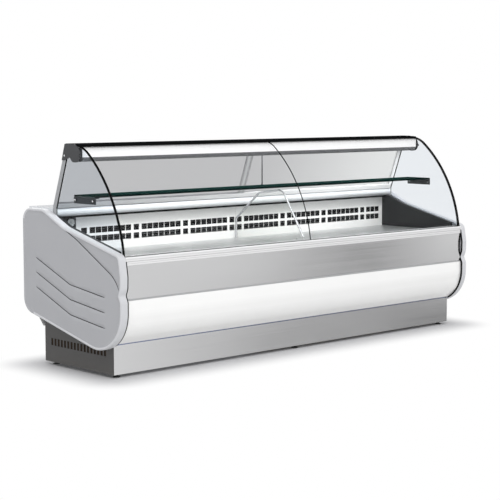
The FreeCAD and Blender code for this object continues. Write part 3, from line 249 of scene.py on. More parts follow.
# Moulded end panels: one grey plastic with painted light and shade: a pale rim, painted lighter as if lit,
# round a sunk field painted darker as if shaded.
def endPanelFinish(name, look):
    finish = newFinish(name)
    where = finish.place()
    grain = finish.node("TexVoronoi", {}, {"Vector": where, "Scale": 700.0})
    flow = finish.noise(where, 1.6, 2.0)
    fromMiddle = abs(finish.axis(where, "X"))
    sunk = 1.0 - finish.between(fromMiddle, look["fieldAt"], look["fieldAt"] + 0.002)
    outward = abs(finish.axis(finish.node("NewGeometry", output="Normal"), "X"))
    field = sunk * finish.between(outward, 0.75, 0.95) * finish.between(fromMiddle, 1.52, 1.53)
    tone = finish.blendColour(flow, look["rim"], look["rimShade"])
    colour = finish.blendColour(field, tone, finish.blendColour(flow, look["field"], look["fieldShade"]))
    roughness = look["roughness"] + grain * 0.06 + (flow - 0.5) * 0.05
    normal = finish.bump(grain, 0.12, usual["mouldRise"], finish.softEdges(0.004))
    return finish.close(finish.shine(look, colour, roughness, normal))


# Clear pane: Fresnel mirror over a tinted see-through, with deep-coloured cut edges and printed borders.
def paneGlass(name, look):
    finish = newFinish(name)
    where = finish.place()
    smear = finish.noise(finish.place(usual["smear"]), 2.0, 3.0)
    grazing = finish.node("LayerWeight", {}, {"Blend": 0.5}, output="Facing")
    outside = 1.0 - finish.node("NewGeometry", output="Backfacing")
    facing = (0.04 + finish.maths("POWER", grazing, 5.0) * 0.96) * outside * look.get("gloss", 0.7)
    clear = finish.node("BsdfTransparent", {}, {"Color": look["tint"]})
    mirror = finish.node("BsdfPrincipled", {}, {
        "Base Color": usual["paneMirror"], "Metallic": 1.0, "Roughness": 0.03 + smear * 0.03})
    veil = finish.between(smear, 0.45, 0.8) * look["veil"]
    pane = finish.node("MixShader", {}, {0: facing + veil, 1: clear, 2: mirror})
    # painted reflection: a grey film in the glass, thickest at the -X end, stands in for a darker
    # reflection in the doors
    if "haze" in look:  # thin film that thickens towards one end of the case
        paintedFilm = finish.node("BsdfTransparent", {}, {"Color": look["hazeTint"]})
        along = finish.axis(where, "X")
        # thinner in the middle, where both panes lie one behind the other
        rest = 1.0 - usual["lappedShare"]
        lapped = usual["lappedShare"] + rest * finish.between(abs(along), *usual["lap"])
        thick = (1.0 - finish.between(along, *look["haze"])) * lapped
        pane = finish.node("MixShader", {}, {0: thick * usual["filmShare"], 1: pane, 2: paintedFilm})
    normal = finish.node("NewGeometry", output="Normal")
    across = abs(finish.axis(normal, look["edgeAxis"]))
    cut = finish.between(across, look.get("edgeFrom", 0.6), look.get("edgeFrom", 0.6) + 0.15)
    if look.get("faceAlongAxis"):
        cut = 1.0 - cut
    if "deepFrom" in look:  # thick pane seen along its length shows the colour of its edge
        deep = finish.between(grazing, look["deepFrom"], look["deepFrom"] + 0.12)
        cut = finish.maths("MAXIMUM", cut, deep)
    if "borderFrom" in look:  # dark printed border along the top
        height = finish.axis(where, "Z")
        border = finish.between(height, look["borderFrom"], look["borderFrom"] + usual["borderFade"])
        cut = finish.maths("MAXIMUM", cut, border)
        beside = abs(finish.axis(where, "X"))
        border = finish.between(beside, look["borderSide"], look["borderSide"] + usual["borderFade"])
        cut = finish.maths("MAXIMUM", cut, border)
    edgeTone = finish.blendColour(finish.noise(where, 40.0), look["edge"], look["edgeShade"])
    edge = finish.node("BsdfPrincipled", {}, {"Base Color": edgeTone, "Roughness": 0.3,
                                              "Specular IOR Level": look.get("edgeShine", 0.5)})
    return finish.close(finish.node("MixShader", {}, {0: cut, 1: pane, 2: edge}))


# Opal acrylic: bright milky body with fine ribs along the lamp.
def opalPlastic(name, look):
    finish = newFinish(name)
    where = finish.place()
    ribs = finish.node("TexWave", {"bands_direction": "Y"}, {"Vector": where, "Scale": look["ribs"]})
    cloud = finish.noise(where, 4.0, 2.0)
    colour = finish.blendColour(cloud, look["colour"], look["shade"])
    roughness = look["roughness"] + ribs * 0.08
    normal = finish.bump(ribs, 0.15, 0.0005, finish.softEdges(0.001))
    return finish.close(finish.shine(look, colour, roughness, normal))


# Zinc coat: angular spangles of differing brightness.
def zincCoat(name, look):
    finish = newFinish(name)
    where = finish.place()
    spangle = finish.node("TexVoronoi", {}, {"Vector": where, "Scale": look["spangles"]}, output="Color")
    grey = finish.axis(spangle, "X")
    colour = finish.blendColour(grey, look["colour"], look["shade"])
    normal = finish.bump(grey, 0.08, usual["peelRise"], finish.softEdges(0.0015))
    return finish.close(finish.shine(look, colour, look["roughness"] + grey * 0.18, normal))


# Extruded corner post: one metal, painted grey as shade on its outward face and pale as a painted
# reflection of the white studio on the faces towards the inside of the case.
def postMetal(name, look):
    finish = newFinish(name)
    where = finish.place()
    grain = finish.noise(finish.place((220.0, 220.0, 2.0)), 1.0, 4.0)
    facing = finish.axis(finish.node("NewGeometry", output="Normal"), "X") * finish.axis(where, "X")
    tone = finish.blendColour(finish.between(facing, 0.6, 1.1), look["inside"], look["outside"])
    colour = finish.blendColour(abs(grain - 0.5) * 0.5, tone, look["grainColour"])
    normal = finish.bump(grain, 0.06, usual["grainRise"], finish.softEdges(0.001))
    return finish.close(finish.shine(look, colour, 0.32 + grain * 0.1, normal))


# Worktop sheet: brushed nose; the flat top is rougher and less metallic, and painted darker as shade.
def worktopSheet(name, look):
    finish = newFinish(name)
    grain = finish.noise(finish.place(steelGrain), 1.0, 4.0)
    cloud = finish.noise(finish.place(), usual["cloudScale"], 3.0)
    flat = finish.between(finish.axis(finish.node("NewGeometry", output="Normal"), "Z"), 0.93, 0.985)
    # the flat top's darker colour is painted shade
    tone = finish.blendColour(flat, look["colour"], look["top"])
    colour = finish.blendColour(abs(grain - 0.5) * 0.4 + cloud * 0.05, tone, look["shade"])
    look = {**look, "metallic": 0.45 * (1.0 - flat)}
    normal = finish.bump(grain, 0.04, usual["grainRise"], finish.softEdges(0.0006))
    return finish.close(finish.shine(look, colour, look["roughness"] + flat * 0.25 + cloud * 0.05, normal))


# White profile with painted shade: greyer at the -X end of the case, fading slowly to near white towards
# the +X end.
def trackProfile(name, look):
    finish = newFinish(name)
    where = finish.place()
    along = finish.between(finish.axis(where, "X"), -1.3, 1.45)
    grain = finish.node("TexVoronoi", {}, {"Vector": where, "Scale": 900.0})
    tone = finish.blendColour(along, look["colour"], look["shade"])
    normal = finish.bump(grain, 0.08, usual["mouldRise"], finish.softEdges(0.0008))
    return finish.close(finish.shine(look, tone, 0.42 + grain * 0.05, normal))


# Vent backing: near-black sheet with faint level louvre lines.
def ventBacking(name, look):
    finish = newFinish(name)
    where = finish.place()
    lines = finish.node("TexWave", {"bands_direction": "Z"},
                        {"Vector": where, "Scale": math.pi / 10 / look["pitch"]})
    cloud = finish.noise(where, 30.0, 2.0)
    colour = finish.blendColour(finish.between(lines, 0.86, 0.98), look["colour"], look["line"])
    normal = finish.bump(lines, 0.3, 0.001)
    return finish.close(finish.shine(look, colour, 0.6 + cloud * 0.2, normal))


# Stack of thin fins, drawn as a wave along one axis: bright sheet edges, with the gaps between them painted
# dark as shade.
def finStack(name, look):
    finish = newFinish(name)
    where = finish.place()
    fins = finish.node("TexWave", {"bands_direction": look["way"]},
                       {"Vector": where, "Scale": math.pi / 10 / look["pitch"]})
    cloud = finish.noise(where, 12.0, 3.0)
    tone = finish.blendColour(cloud * 0.3, look["colour"], usual["finShade"])
    colour = finish.blendColour(finish.between(fins, 0.35, 0.65), look["gap"], tone)
    normal = finish.bump(fins, 0.4, 0.0006, finish.softEdges(0.0006))
    return finish.close(finish.shine({"metallic": 0.7}, colour, 0.4 + cloud * 0.1, normal))


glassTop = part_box("front_glass_left")[1].z
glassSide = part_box("front_glass_right")[1].x
railLines = [(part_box("front_rail")[0].z + rise, 0.0011) for rise in (0.012, 0.024, 0.036)]
kickLines = [(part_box("kick_plate")[1].z - 0.0045, 0.004)]
slotLooks = {
    "stainless": (drawnMetal, {
        "colour": linear(216, 216, 217), "grain": steelGrain, "streak": 0.10, "cloud": 0.05,
        "roughness": 0.15, "relief": 0.05, "edge": 0.0004}),
    # grey outside and pale inside on one metal: painted shade and painted reflection
    "post_aluminium": (postMetal, {
        "outside": linear(164, 166, 169), "inside": linear(236, 238, 240),
        "grainColour": linear(150, 152, 156), "metallic": 0.15}),
    "chrome_trim": (drawnMetal, {
        "colour": linear(228, 230, 233), "grain": (160.0, 160.0, 160.0), "streak": 0.04, "cloud": 0.04,
        "roughness": 0.1, "relief": 0.02, "edge": 0.0008}),
    "fin_aluminium": (drawnMetal, {
        "colour": linear(205, 207, 209), "grain": (8.0, 300.0, 300.0), "streak": 0.2, "cloud": 0.1,
        "roughness": 0.38, "relief": 0.1, "edge": 0.0006}),
    "black_anodised": (drawnMetal, {
        "colour": linear(24, 25, 27), "grain": (1.0, 260.0, 260.0), "streak": 0.25, "cloud": 0.1,
        "roughness": 0.42, "relief": 0.05, "metallic": 0.0, "specular": 0.0}),
    "copper": (drawnMetal, {
        "colour": linear(186, 118, 84), "grain": (60.0, 60.0, 60.0), "streak": 0.3, "cloud": 0.45,
        "roughness": 0.34, "relief": 0.08}),
    "painted_steel": (paintCoat, {
        "colour": linear(140, 142, 146), "shade": linear(128, 130, 134), "roughness": 0.45, "relief": 0.15,
        "grime": 0.3}),
    "plinth_steel": (paintCoat, {
        "colour": linear(80, 79, 78), "shade": linear(70, 69, 69), "roughness": 0.42, "relief": 0.12,
        "grime": 0.25}),
    "white_enamel": (paintCoat, {
        "colour": linear(247, 247, 246), "shade": linear(243, 243, 243), "roughness": 0.3, "relief": 0.04,
        "edge": 0.0004, "coat": 0.25, "coatRoughness": 0.12}),
    "black_enamel": (paintCoat, {
        "colour": linear(24, 24, 26), "shade": linear(32, 32, 34), "roughness": 0.2, "relief": 0.12,
        "coat": 0.6, "coatRoughness": 0.08}),
    "bracket_steel": (paintCoat, {
        "colour": linear(52, 55, 57), "shade": linear(44, 47, 49), "roughness": 0.4, "relief": 0.1,
        "metallic": 0.1, "edge": 0.001, "specular": 0.35}),
    "dark_baffle": (paintCoat, {
        "colour": linear(46, 48, 50), "shade": linear(36, 38, 40), "roughness": 0.5, "relief": 0.15}),
    "galvanised": (zincCoat, {
        "colour": linear(176, 180, 184), "shade": linear(150, 154, 159), "spangles": 90.0,
        "roughness": 0.36, "metallic": 0.9}),
    "foam": (zincCoat, {
        "colour": linear(222, 210, 176), "shade": linear(206, 192, 156), "spangles": 260.0,
        "roughness": 0.75}),
    "dark_strip": (mouldedPlastic, {
        "colour": linear(176, 177, 179), "shade": linear(166, 167, 170), "roughness": 0.4, "relief": 0.1}),
    "dark_lining": (mouldedPlastic, {
        "colour": linear(34, 35, 37), "shade": linear(26, 27, 29), "roughness": 0.42, "relief": 0.12,
        "specular": 0.3}),
    "grey_cap": (mouldedPlastic, {
        "colour": linear(60, 61, 64), "shade": linear(52, 53, 56), "roughness": 0.36, "relief": 0.1}),
    "fan_blade": (mouldedPlastic, {
        "colour": linear(52, 53, 56), "shade": linear(42, 43, 46), "roughness": 0.42, "relief": 0.1}),
    # grey to white along the case: painted shade
    "track_plastic": (trackProfile, {
        "colour": linear(176, 177, 179), "shade": linear(234, 235, 236), "specular": 0.25}),
    "control_black": (mouldedPlastic, {
        "colour": linear(34, 35, 37), "shade": linear(42, 43, 45), "roughness": 0.42, "relief": 0.16}),
    "switch_green": (mouldedPlastic, {
        "colour": linear(34, 148, 74), "shade": linear(28, 132, 64), "roughness": 0.2, "relief": 0.03,
        "coat": 0.5, "coatRoughness": 0.06}),
    "switch_white": (mouldedPlastic, {
        "colour": linear(232, 232, 228), "shade": linear(224, 224, 220), "roughness": 0.24, "relief": 0.03,
        "coat": 0.4, "coatRoughness": 0.06}),
    "black_seal": (mouldedPlastic, {
        "colour": linear(14, 14, 15), "shade": linear(20, 20, 21), "roughness": 0.6, "relief": 0.2,
        "grainScale": 1400.0, "specular": 0.15}),
    "black_foot": (mouldedPlastic, {
        "colour": linear(26, 26, 27), "shade": linear(36, 36, 37), "roughness": 0.6, "relief": 0.2}),
    # pale rim and darker field on one plastic: painted light and painted shade
    "moulded_grey": (endPanelFinish, {
        "field": linear(163, 164, 168), "fieldShade": linear(158, 159, 164), "rim": linear(222, 223, 226),
        "rimShade": linear(216, 217, 221), "fieldAt": 1.5425, "roughness": 0.34}),
    "lamp_glass": (opalPlastic, {
        "colour": linear(244, 245, 246), "shade": linear(236, 238, 240), "ribs": 2.0, "roughness": 0.18}),
    "diffuser": (opalPlastic, {
        "colour": linear(118, 119, 121), "shade": linear(108, 109, 112), "ribs": 60.0, "roughness": 0.5,
        "specular": 0.2}),
    "clear_glass": (paneGlass, {
        "tint": linear(253, 253, 253), "veil": 0.0, "edgeAxis": "X", "gloss": 0.16,
        "edge": linear(20, 21, 21), "edgeShade": linear(12, 13, 13), "edgeShine": 0.0,
        "borderFrom": glassTop - 0.0125, "borderSide": glassSide - 0.0035}),
    "side_glass": (paneGlass, {
        "tint": linear(246, 248, 250), "veil": 0.0, "edgeAxis": "X", "gloss": 0.3, "faceAlongAxis": True,
        "edge": linear(66, 76, 74), "edgeShade": linear(50, 58, 57)}),
    "divider_glass": (paneGlass, {
        "tint": linear(252, 253, 252), "veil": 0.0, "edgeAxis": "X", "gloss": 0.4, "faceAlongAxis": True,
        "edge": linear(206, 212, 212), "edgeShade": linear(184, 192, 192)}),
    "shelf_glass": (paneGlass, {
        "tint": linear(240, 244, 242), "veil": 0.0, "edgeAxis": "Y", "gloss": 0.1, "deepFrom": 0.8,
        "edge": linear(10, 30, 28), "edgeShade": linear(6, 22, 20), "edgeShine": 0.0}),
    # grey film towards the -X end: painted reflection
    "door_glass": (paneGlass, {
        "tint": linear(243, 244, 244), "veil": 0.0, "edgeAxis": "X", "gloss": 0.3, "haze": (-0.05, 1.5),
        "hazeTint": linear(217, 217, 218), "edge": linear(217, 219, 220),
        "edgeShade": linear(207, 209, 210)}),
    # darker top: painted shade
    "worktopSteel": (worktopSheet, {
        "colour": linear(238, 241, 244), "top": linear(182, 184, 187), "shade": linear(170, 173, 177),
        "roughness": 0.26, "specular": 0.3}),
    "railSteel": (drawnMetal, {
        "colour": linear(238, 238, 239), "grain": steelGrain, "streak": 0.08, "cloud": 0.04,
        "roughness": 0.25, "relief": 0.05, "metallic": 0.5, "edge": 0.0006, "lines": railLines,
        "lineColour": linear(150, 150, 152)}),
    "kickSteel": (drawnMetal, {
        "colour": linear(216, 216, 217), "grain": steelGrain, "streak": 0.10, "cloud": 0.05,
        "roughness": 0.15, "relief": 0.05, "edge": 0.0004, "lines": kickLines, "lineDepth": 0.8,
        "lineColour": linear(92, 108, 150)}),
    "deckSteel": (drawnMetal, {
        "colour": linear(212, 213, 214), "grain": (0.6, 220.0, 220.0), "streak": 0.08, "cloud": 0.03,
        "roughness": 0.34, "relief": 0.02, "metallic": 0.8, "edge": 0.0004}),
    "rodSteel": (drawnMetal, {
        "colour": linear(54, 55, 58), "grain": (160.0, 160.0, 12.0), "streak": 0.1, "cloud": 0.06,
        "roughness": 0.35, "relief": 0.04, "metallic": 0.3, "edge": 0.0008}),
    "tubeSteel": (drawnMetal, {
        "colour": linear(220, 221, 224), "grain": (60.0, 160.0, 160.0), "streak": 0.08, "cloud": 0.05,
        "roughness": 0.22, "relief": 0.03, "metallic": 0.85, "edge": 0.0004}),
    # the white housing glows faintly though it is no lamp: painted light
    "lampHousingPaintedLight": (paintCoat, {
        "colour": linear(246, 246, 246), "shade": linear(242, 242, 243), "roughness": 0.34, "relief": 0.04,
        "edge": 0.0004, "glow": 0.2}),
    "stileClear": (paneGlass, {
        "tint": linear(250, 250, 250), "veil": 0.01, "edgeAxis": "X", "gloss": 0.12,
        "edge": linear(204, 206, 207), "edgeShade": linear(190, 192, 194), "edgeFrom": 2.0}),
    "ventBlack": (ventBacking, {
        "colour": linear(13, 13, 14), "line": linear(78, 80, 82), "pitch": 0.0105, "specular": 0.05}),
    # dark gaps between the fins: painted shade
    "finsAcross": (finStack, {
        "colour": linear(202, 204, 206), "gap": linear(70, 72, 75), "way": "Y", "pitch": 0.0025}),
    "finsAlong": (finStack, {
        "colour": linear(208, 210, 212), "gap": linear(78, 80, 83), "way": "X", "pitch": 0.004}),
    # rim and field of one grey plastic: the pale rim is painted light, the darker field painted shade
    "endRimPaintedLight": (mouldedPlastic, {
        "colour": linear(208, 209, 212), "shade": linear(202, 203, 207), "roughness": 0.36, "relief": 0.1,
        "grainScale": 700.0}),
    "endFieldPaintedShade": (mouldedPlastic, {
        "colour": linear(177, 178, 182), "shade": linear(172, 173, 177), "roughness": 0.42, "relief": 0.12,
        "grainScale": 700.0}),
    # near-black inside the grooves of the grey plastic: painted shade
    "endGroovePaintedShade": (mouldedPlastic, {
        "colour": linear(46, 47, 50), "shade": linear(38, 39, 42), "roughness": 0.5, "relief": 0.1}),
    "dialWhite": (mouldedPlastic, {
        "colour": linear(240, 240, 238), "shade": linear(234, 234, 232), "roughness": 0.4, "relief": 0.02,
        "edge": 0.0001}),
    "needleBlue": (mouldedPlastic, {
        "colour": linear(52, 84, 140), "shade": linear(44, 74, 128), "roughness": 0.3, "relief": 0.02,
        "edge": 0.0001}),
    "lensGlass": (paneGlass, {
        "tint": linear(250, 251, 251), "veil": 0.0, "edgeAxis": "X", "gloss": 0.5,
        "edge": linear(180, 186, 186), "edgeShade": linear(170, 176, 176)}),
    "displayLens": (mouldedPlastic, {
        "colour": linear(30, 16, 16), "shade": linear(24, 12, 12), "roughness": 0.08, "relief": 0.01,
        "edge": 0.0004}),
    "displayRed": (mouldedPlastic, {
        "colour": linear(226, 44, 34), "shade": linear(218, 38, 30), "roughness": 0.3, "relief": 0.01,
        "edge": 0.0001, "glow": 0.7}),
    # dark brown mat, partly painted shade behind the slots
    "filterMat": (mouldedPlastic, {
        "colour": linear(74, 63, 54), "shade": linear(54, 46, 39), "roughness": 0.8, "relief": 0.6,
        "grainScale": 260.0, "specular": 0.1}),
}
restyled = {"side_glasses": "side_glass", "divider": "divider_glass", "worktop": "worktopSteel",
            "front_rail": "railSteel", "kick_plate": "kickSteel", "deck_plates": "deckSteel",
            "shelf_hanger_rod": "rodSteel", "light_housing": "lampHousingPaintedLight",
            "rear_door_left_stiles": "stileClear", "rear_door_right_stiles": "stileClear",
            "air_grille_mesh": "ventBlack",
            "condenser": "finsAcross", "evaporator": "finsAlong"}
finishes = {slot: make(slot, look) for slot, (make, look) in slotLooks.items()}
for node in frame["nodes"].values():
    for slot in node.material_slots:
        slot.material = finishes[restyled.get(node.name, slot.material.name)]
print("finishes on the case:", len(finishes))

# Shapes.
# Straight runs between corners, joined by tangent arcs of each corner's radius.
# The arcs shrink where a run is short.
def roundedPath(corners, closed=True, spacing=0.006):
    spots = np.array([corner[:2] for corner in corners], float)
    radii = np.array([corner[2] for corner in corners], float)
    before = np.roll(spots, 1, axis=0) - spots
    after = np.roll(spots, -1, axis=0) - spots
    run = np.linalg.norm(after, axis=1)
    before /= np.linalg.norm(before, axis=1)[:, None]
    after /= run[:, None]
    halfAngle = np.arccos(np.clip((before * after).sum(1), -1.0, 1.0)) / 2
    reach = radii / np.tan(halfAngle)
    if not closed:
        reach[[0, -1]] = 0.0
        run[-1] = 1e9
    wanted = reach + np.roll(reach, -1)
    share = np.minimum(1.0, 0.98 * run / np.maximum(wanted, 1e-9))
    reach *= np.minimum(share, np.roll(share, 1))
    outline = []
    for spot, way0, way1, half, length in zip(spots, before, after, halfAngle, reach):
        if length < 1e-7:
            outline.append(spot[None])
            continue
        radius = length * math.tan(half)
        bisector = (way0 + way1) / np.linalg.norm(way0 + way1)
        centre = spot + bisector * radius / math.sin(half)
        first = (spot + way0 * length - centre) / radius
        last = (spot + way1 * length - centre) / radius
        turn = math.pi - 2 * half
        share = np.linspace(0.0, 1.0, max(3, int(radius * turn / spacing) + 2))[:, None]
        outline.append(centre + radius * (np.sin((1 - share) * turn) * first + np.sin(share * turn) * last)
                       / math.sin(turn))
    return np.concatenate(outline)


# Same line, with points at an even spacing along it.
def evenly(path, spacing, closed=True):
    line = np.concatenate([path, path[:1]]) if closed else path
    along = np.concatenate([[0.0], np.cumsum(np.linalg.norm(np.diff(line, axis=0), axis=1))])
    count = max(3, int(round(along[-1] / spacing)))
    at = np.linspace(0.0, along[-1], count + 1)
    if closed:
        at = at[:-1]
    return np.stack([np.interp(at, along, line[:, axis]) for axis in range(line.shape[1])], axis=1)


# Unit normals on the left of a flat line, from the difference of the neighbours of each point.
def leftOf(path, closed=True):
    if closed:
        way = np.roll(path, -1, axis=0) - np.roll(path, 1, axis=0)
    else:
        way = np.gradient(path, axis=0)
    way /= np.linalg.norm(way, axis=1)[:, None]
    return np.stack([-way[:, 1], way[:, 0]], axis=1)


# Quads between the neighbours of a grid of points, rows by columns, wrapped where a direction closes.
def gridFaces(rows, columns, closeRows=False, closeColumns=False, first=0):
    row = np.arange(rows if closeRows else rows - 1)
    column = np.arange(columns if closeColumns else columns - 1)
    r, c = np.meshgrid(row, column, indexing="ij")
    nextRow = (r + 1) % rows
    nextColumn = (c + 1) % columns
    corners = (r * columns + c, r * columns + nextColumn,
               nextRow * columns + nextColumn, nextRow * columns + c)
    return (np.stack([corner.ravel() for corner in corners], axis=1) + first).tolist()


def addObject(name, data):
    made = bpy.data.objects.new(name, data)
    bpy.context.scene.collection.objects.link(made)
    return made


# Mesh object from points and faces: doubles merged, faces turned outwards, smooth below the crease angle.
def newPiece(name, points, faces, body, slot, finish, stands=(), crease=35.0, faceFinish=None):
    mesh = bpy.data.meshes.new(name)
    mesh.from_pydata(np.asarray(points, float).tolist(), [], faces)
    for used in finish if isinstance(finish, (list, tuple)) else [finish]:
        mesh.materials.append(used)
    if faceFinish is not None:
        mesh.polygons.foreach_set("material_index", np.asarray(faceFinish, np.int32))
    work = bmesh.new()
    work.from_mesh(mesh)
    bmesh.ops.remove_doubles(work, verts=work.verts, dist=1e-6)
    bmesh.ops.recalc_face_normals(work, faces=work.faces)
    work.to_mesh(mesh)
    work.free()
    mesh.polygons.foreach_set("use_smooth", np.ones(len(mesh.polygons), bool))
    mesh.set_sharp_from_angle(angle=math.radians(crease))
    piece = addObject(name, mesh)
    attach(piece, body)
    if stands:
        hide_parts(*stands)
    return piece


# End panels: a moulding with a rolled rim, a sunk and lightly crowned field, and tapered grooves.
endPanel = {
    "roll": 0.009, "rimInner": 0.0115, "stepWidth": 0.004, "recess": 0.004, "crown": 0.0022,
    "grooveWidth": 0.0056, "grooveDepth": 0.003, "taper": 0.03, "spacing": 0.007,
    "fieldSpacing": 0.022, "backFrom": 0.38, "backBelow": 0.875, "thick": 0.046, "crownReach": 0.16,
    "clear": 0.008, "span": (-0.6, 1.1), "crease": 50.0}


def endOutline():
    low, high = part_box("end_panel_left")
    front, back, rail = low.y, high.y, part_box("front_rail")[1].z
    return [(back, 0.324, 0.095), (back, high.z, 0.075), (front + 0.747, high.z, 0.13),
            (front + 0.545, rail + 0.14, 0.25), (front + 0.02, rail + 0.01, 0.045),
            (front, rail - 0.109, 0.09),
            (front + 0.002, 0.53, 0.06), (front + 0.018, 0.492, 0.008), (front, 0.456, 0.03),
            (front, 0.0975, 0.236)]


def endGrooveLines():
    low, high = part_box("end_panel_left")
    front, back, rail = low.y, high.y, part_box("front_rail")[1].z
    lines = [[(back - 0.131, 0.474 + rise, 0.0), (front + 0.484, 0.338 + rise, 0.06),
              (front + 0.152, 0.294 + rise, 0.0)] for rise in (0.0, 0.09, 0.178)]
    lines.append([(front + 0.54, rail + 0.128, 0.0), (front + 0.42, rail + 0.076, 0.2),
                  (front + 0.166, rail - 0.062, 0.3), (front + 0.055, rail - 0.122, 0.2),
                  (front + 0.024, rail - 0.189, 0.0)])
    return lines


# Each groove is a V whose width and depth rise from nothing over the taper at each of its ends.
def grooveParts(line):
    middle = evenly(roundedPath(line, closed=False), endPanel["spacing"], closed=False)
    across = leftOf(middle, closed=False)
    reach = np.linspace(0.0, 1.0, len(middle))
    length = np.linalg.norm(np.diff(middle, axis=0), axis=1).sum()
    open_ = np.clip(np.minimum(reach, 1.0 - reach) * length / endPanel["taper"], 0.0, 1.0) ** 0.5
    half = (endPanel["grooveWidth"] / 2 * open_)[:, None]
    return middle, middle + across * half, middle - across * half, endPanel["grooveDepth"] * open_


def fieldHeight(spots, ring):
    # crown of the field: rises smoothly from its edge towards its middle
    gap = np.min(np.linalg.norm(spots[:, None] - ring[None, ::3], axis=2), axis=1)
    share = np.clip(gap / endPanel["crownReach"], 0.0, 1.0)
    return endPanel["crown"] * share * share * (3 - 2 * share)


def insideOf(spots, loop):
    # even count of crossings is outside, odd is inside
    x, y = spots[:, None, 0], spots[:, None, 1]
    start, end = loop[None], np.roll(loop, -1, axis=0)[None]
    rise = end[..., 1] - start[..., 1]
    rise = np.where(np.abs(rise) < 1e-12, 1e-12, rise)
    crosses = ((start[..., 1] > y) != (end[..., 1] > y)) & (
        x < start[..., 0] + (y - start[..., 1]) * (end[..., 0] - start[..., 0]) / rise)
    return crosses.sum(1) % 2 == 1


# Unit normals that point into a closed outline.
def facingIn(outline):
    inward = leftOf(outline)
    probe = outline[:1] + inward[:1] * 1e-4
    return inward if insideOf(probe, outline)[0] else -inward


def makeEndPanel(side):
    look = endPanel
    outline = evenly(roundedPath(endOutline()), look["spacing"])
    inward = facingIn(outline)
    inner, outer = cadHalf - look["thick"], cadHalf
    turn = np.linspace(0.0, math.pi / 2, 7)
    lip = np.linspace(0.0, 1.0, 6)
    ease = lip * lip * (3 - 2 * lip)
    insets = np.concatenate([[0.0], look["roll"] * (1 - np.cos(turn)),
                             look["rimInner"] + look["stepWidth"] * lip])
    reaches = np.concatenate([[inner], outer - look["roll"] * (1 - np.sin(turn)),
                              outer - look["recess"] * ease])
    ring = outline + inward * insets[-1]
    grooves = [grooveParts(line) for line in endGrooveLines()]
    loops = [np.concatenate([left, right[-2:0:-1]]) for _, left, right, _ in grooves]

    span = np.arange(*look["span"], look["fieldSpacing"])
    grid = np.stack(np.meshgrid(span, span, indexing="ij"), axis=2).reshape(-1, 2)
    clear = insideOf(grid, ring)
    for loop in [ring, *loops]:
        gap = np.linalg.norm(grid[clear][:, None] - loop[None], axis=2)
        clear[clear] = np.min(gap, axis=1) > look["clear"]
    flat = np.concatenate([ring, *loops, grid[clear]])
    edges, first = [], 0
    for loop in [ring, *loops]:
        at = np.arange(len(loop))
        edges += np.stack([first + at, first + (at + 1) % len(loop)], axis=1).tolist()
        first += len(loop)
    net = delaunay_2d_cdt([Vector(spot) for spot in flat], edges, [], 0, 1e-6, False)
    spots = np.array([tuple(spot) for spot in net[0]])
    triangles = np.array(net[2])
    centres = spots[triangles].mean(1)
    keep = insideOf(centres, ring)
    for loop in loops:
        keep &= ~insideOf(centres, loop)
    field = fieldHeight(spots, ring) + outer - look["recess"]
    points = [np.column_stack([field, spots])]
    faces = triangles[keep].tolist()
    kinds = [1] * len(faces)
    count = len(spots)

    rows = np.stack([np.column_stack([np.full(len(outline), reach), outline + inward * inset])
                     for inset, reach in zip(insets, reaches)])
    points.append(rows.reshape(-1, 3))
    rim = gridFaces(len(rows), len(outline), closeColumns=True, first=count)
    faces += rim + [list(range(count, count + len(outline)))]
    # rim faces at the back take the field's darker painted shade, where no painted light falls on them
    behind = (outline[:, 0] > look["backFrom"]) & (outline[:, 1] < look["backBelow"])  # rim is plain there
    kinds += np.tile(behind.astype(int), len(rows) - 1).tolist() + [0]
    count += rows.shape[0] * rows.shape[1]

    for middle, left, right, depth in grooves:
        level = fieldHeight(np.concatenate([left, middle, right]), ring).reshape(3, -1)
        level = level + outer - look["recess"]
        level[1] -= depth
        strip = np.stack([np.column_stack([rise, line])
                          for rise, line in zip(level, (left, middle, right))])
        points.append(strip.reshape(-1, 3))
        channel = gridFaces(3, len(middle), first=count)
        faces += channel
        kinds += [2] * len(channel)
        count += 3 * len(middle)
    placed = np.concatenate(points)
    placed[:, 0] *= side
    name = "endPanelLeft" if side < 0 else "endPanelRight"
    node = "end_panel_left" if side < 0 else "end_panel_right"
    return newPiece(name, placed, faces, "case", "moulded_grey", endFinishes, [node], look["crease"], kinds)


cadHalf = cadBox[1].x
# painted light on the rim, painted shade in the field and grooves
endFinishes = [finishes[name] for name in ("endRimPaintedLight", "endFieldPaintedShade", "endGroovePaintedShade")]
for side in (-1, 1):
    makeEndPanel(side)
print("end panels moulded")

# Black strips in the joint between the end panels and the front panels, following the panel's outline: a
# painted shadow of the gap.
endShadowStrip = {
    "face": 0.0461, "width": 0.0078, "from": 0.0008, "to": 0.009, "behind": -0.36, "below": 0.698}


def makeEndGaskets():
    look = endShadowStrip
    outline = evenly(roundedPath(endOutline()), endPanel["spacing"])
    inward = facingIn(outline)
    part = (outline[:, 0] < look["behind"]) & (outline[:, 1] < look["below"])
    line, inward = outline[part], inward[part]
    face = cadHalf - look["face"]
    parts = []
    for side in (-1.0, 1.0):
        corners = [(face, look["from"]), (face, look["to"]), (face - look["width"], look["to"]),
                   (face - look["width"], look["from"])]
        rings = np.stack([np.column_stack([np.full(len(line), side * x), line + inward * inset])
                          for x, inset in corners], axis=1)
        count = len(line) * 4
        caps = [[0, 1, 2, 3], [count - 4, count - 3, count - 2, count - 1]]
        parts.append((rings.reshape(-1, 3), gridFaces(len(line), 4, closeColumns=True) + caps))
    newPiece("endShadowStrips", *joined(parts), "case", "black_seal", finishes["black_seal"])


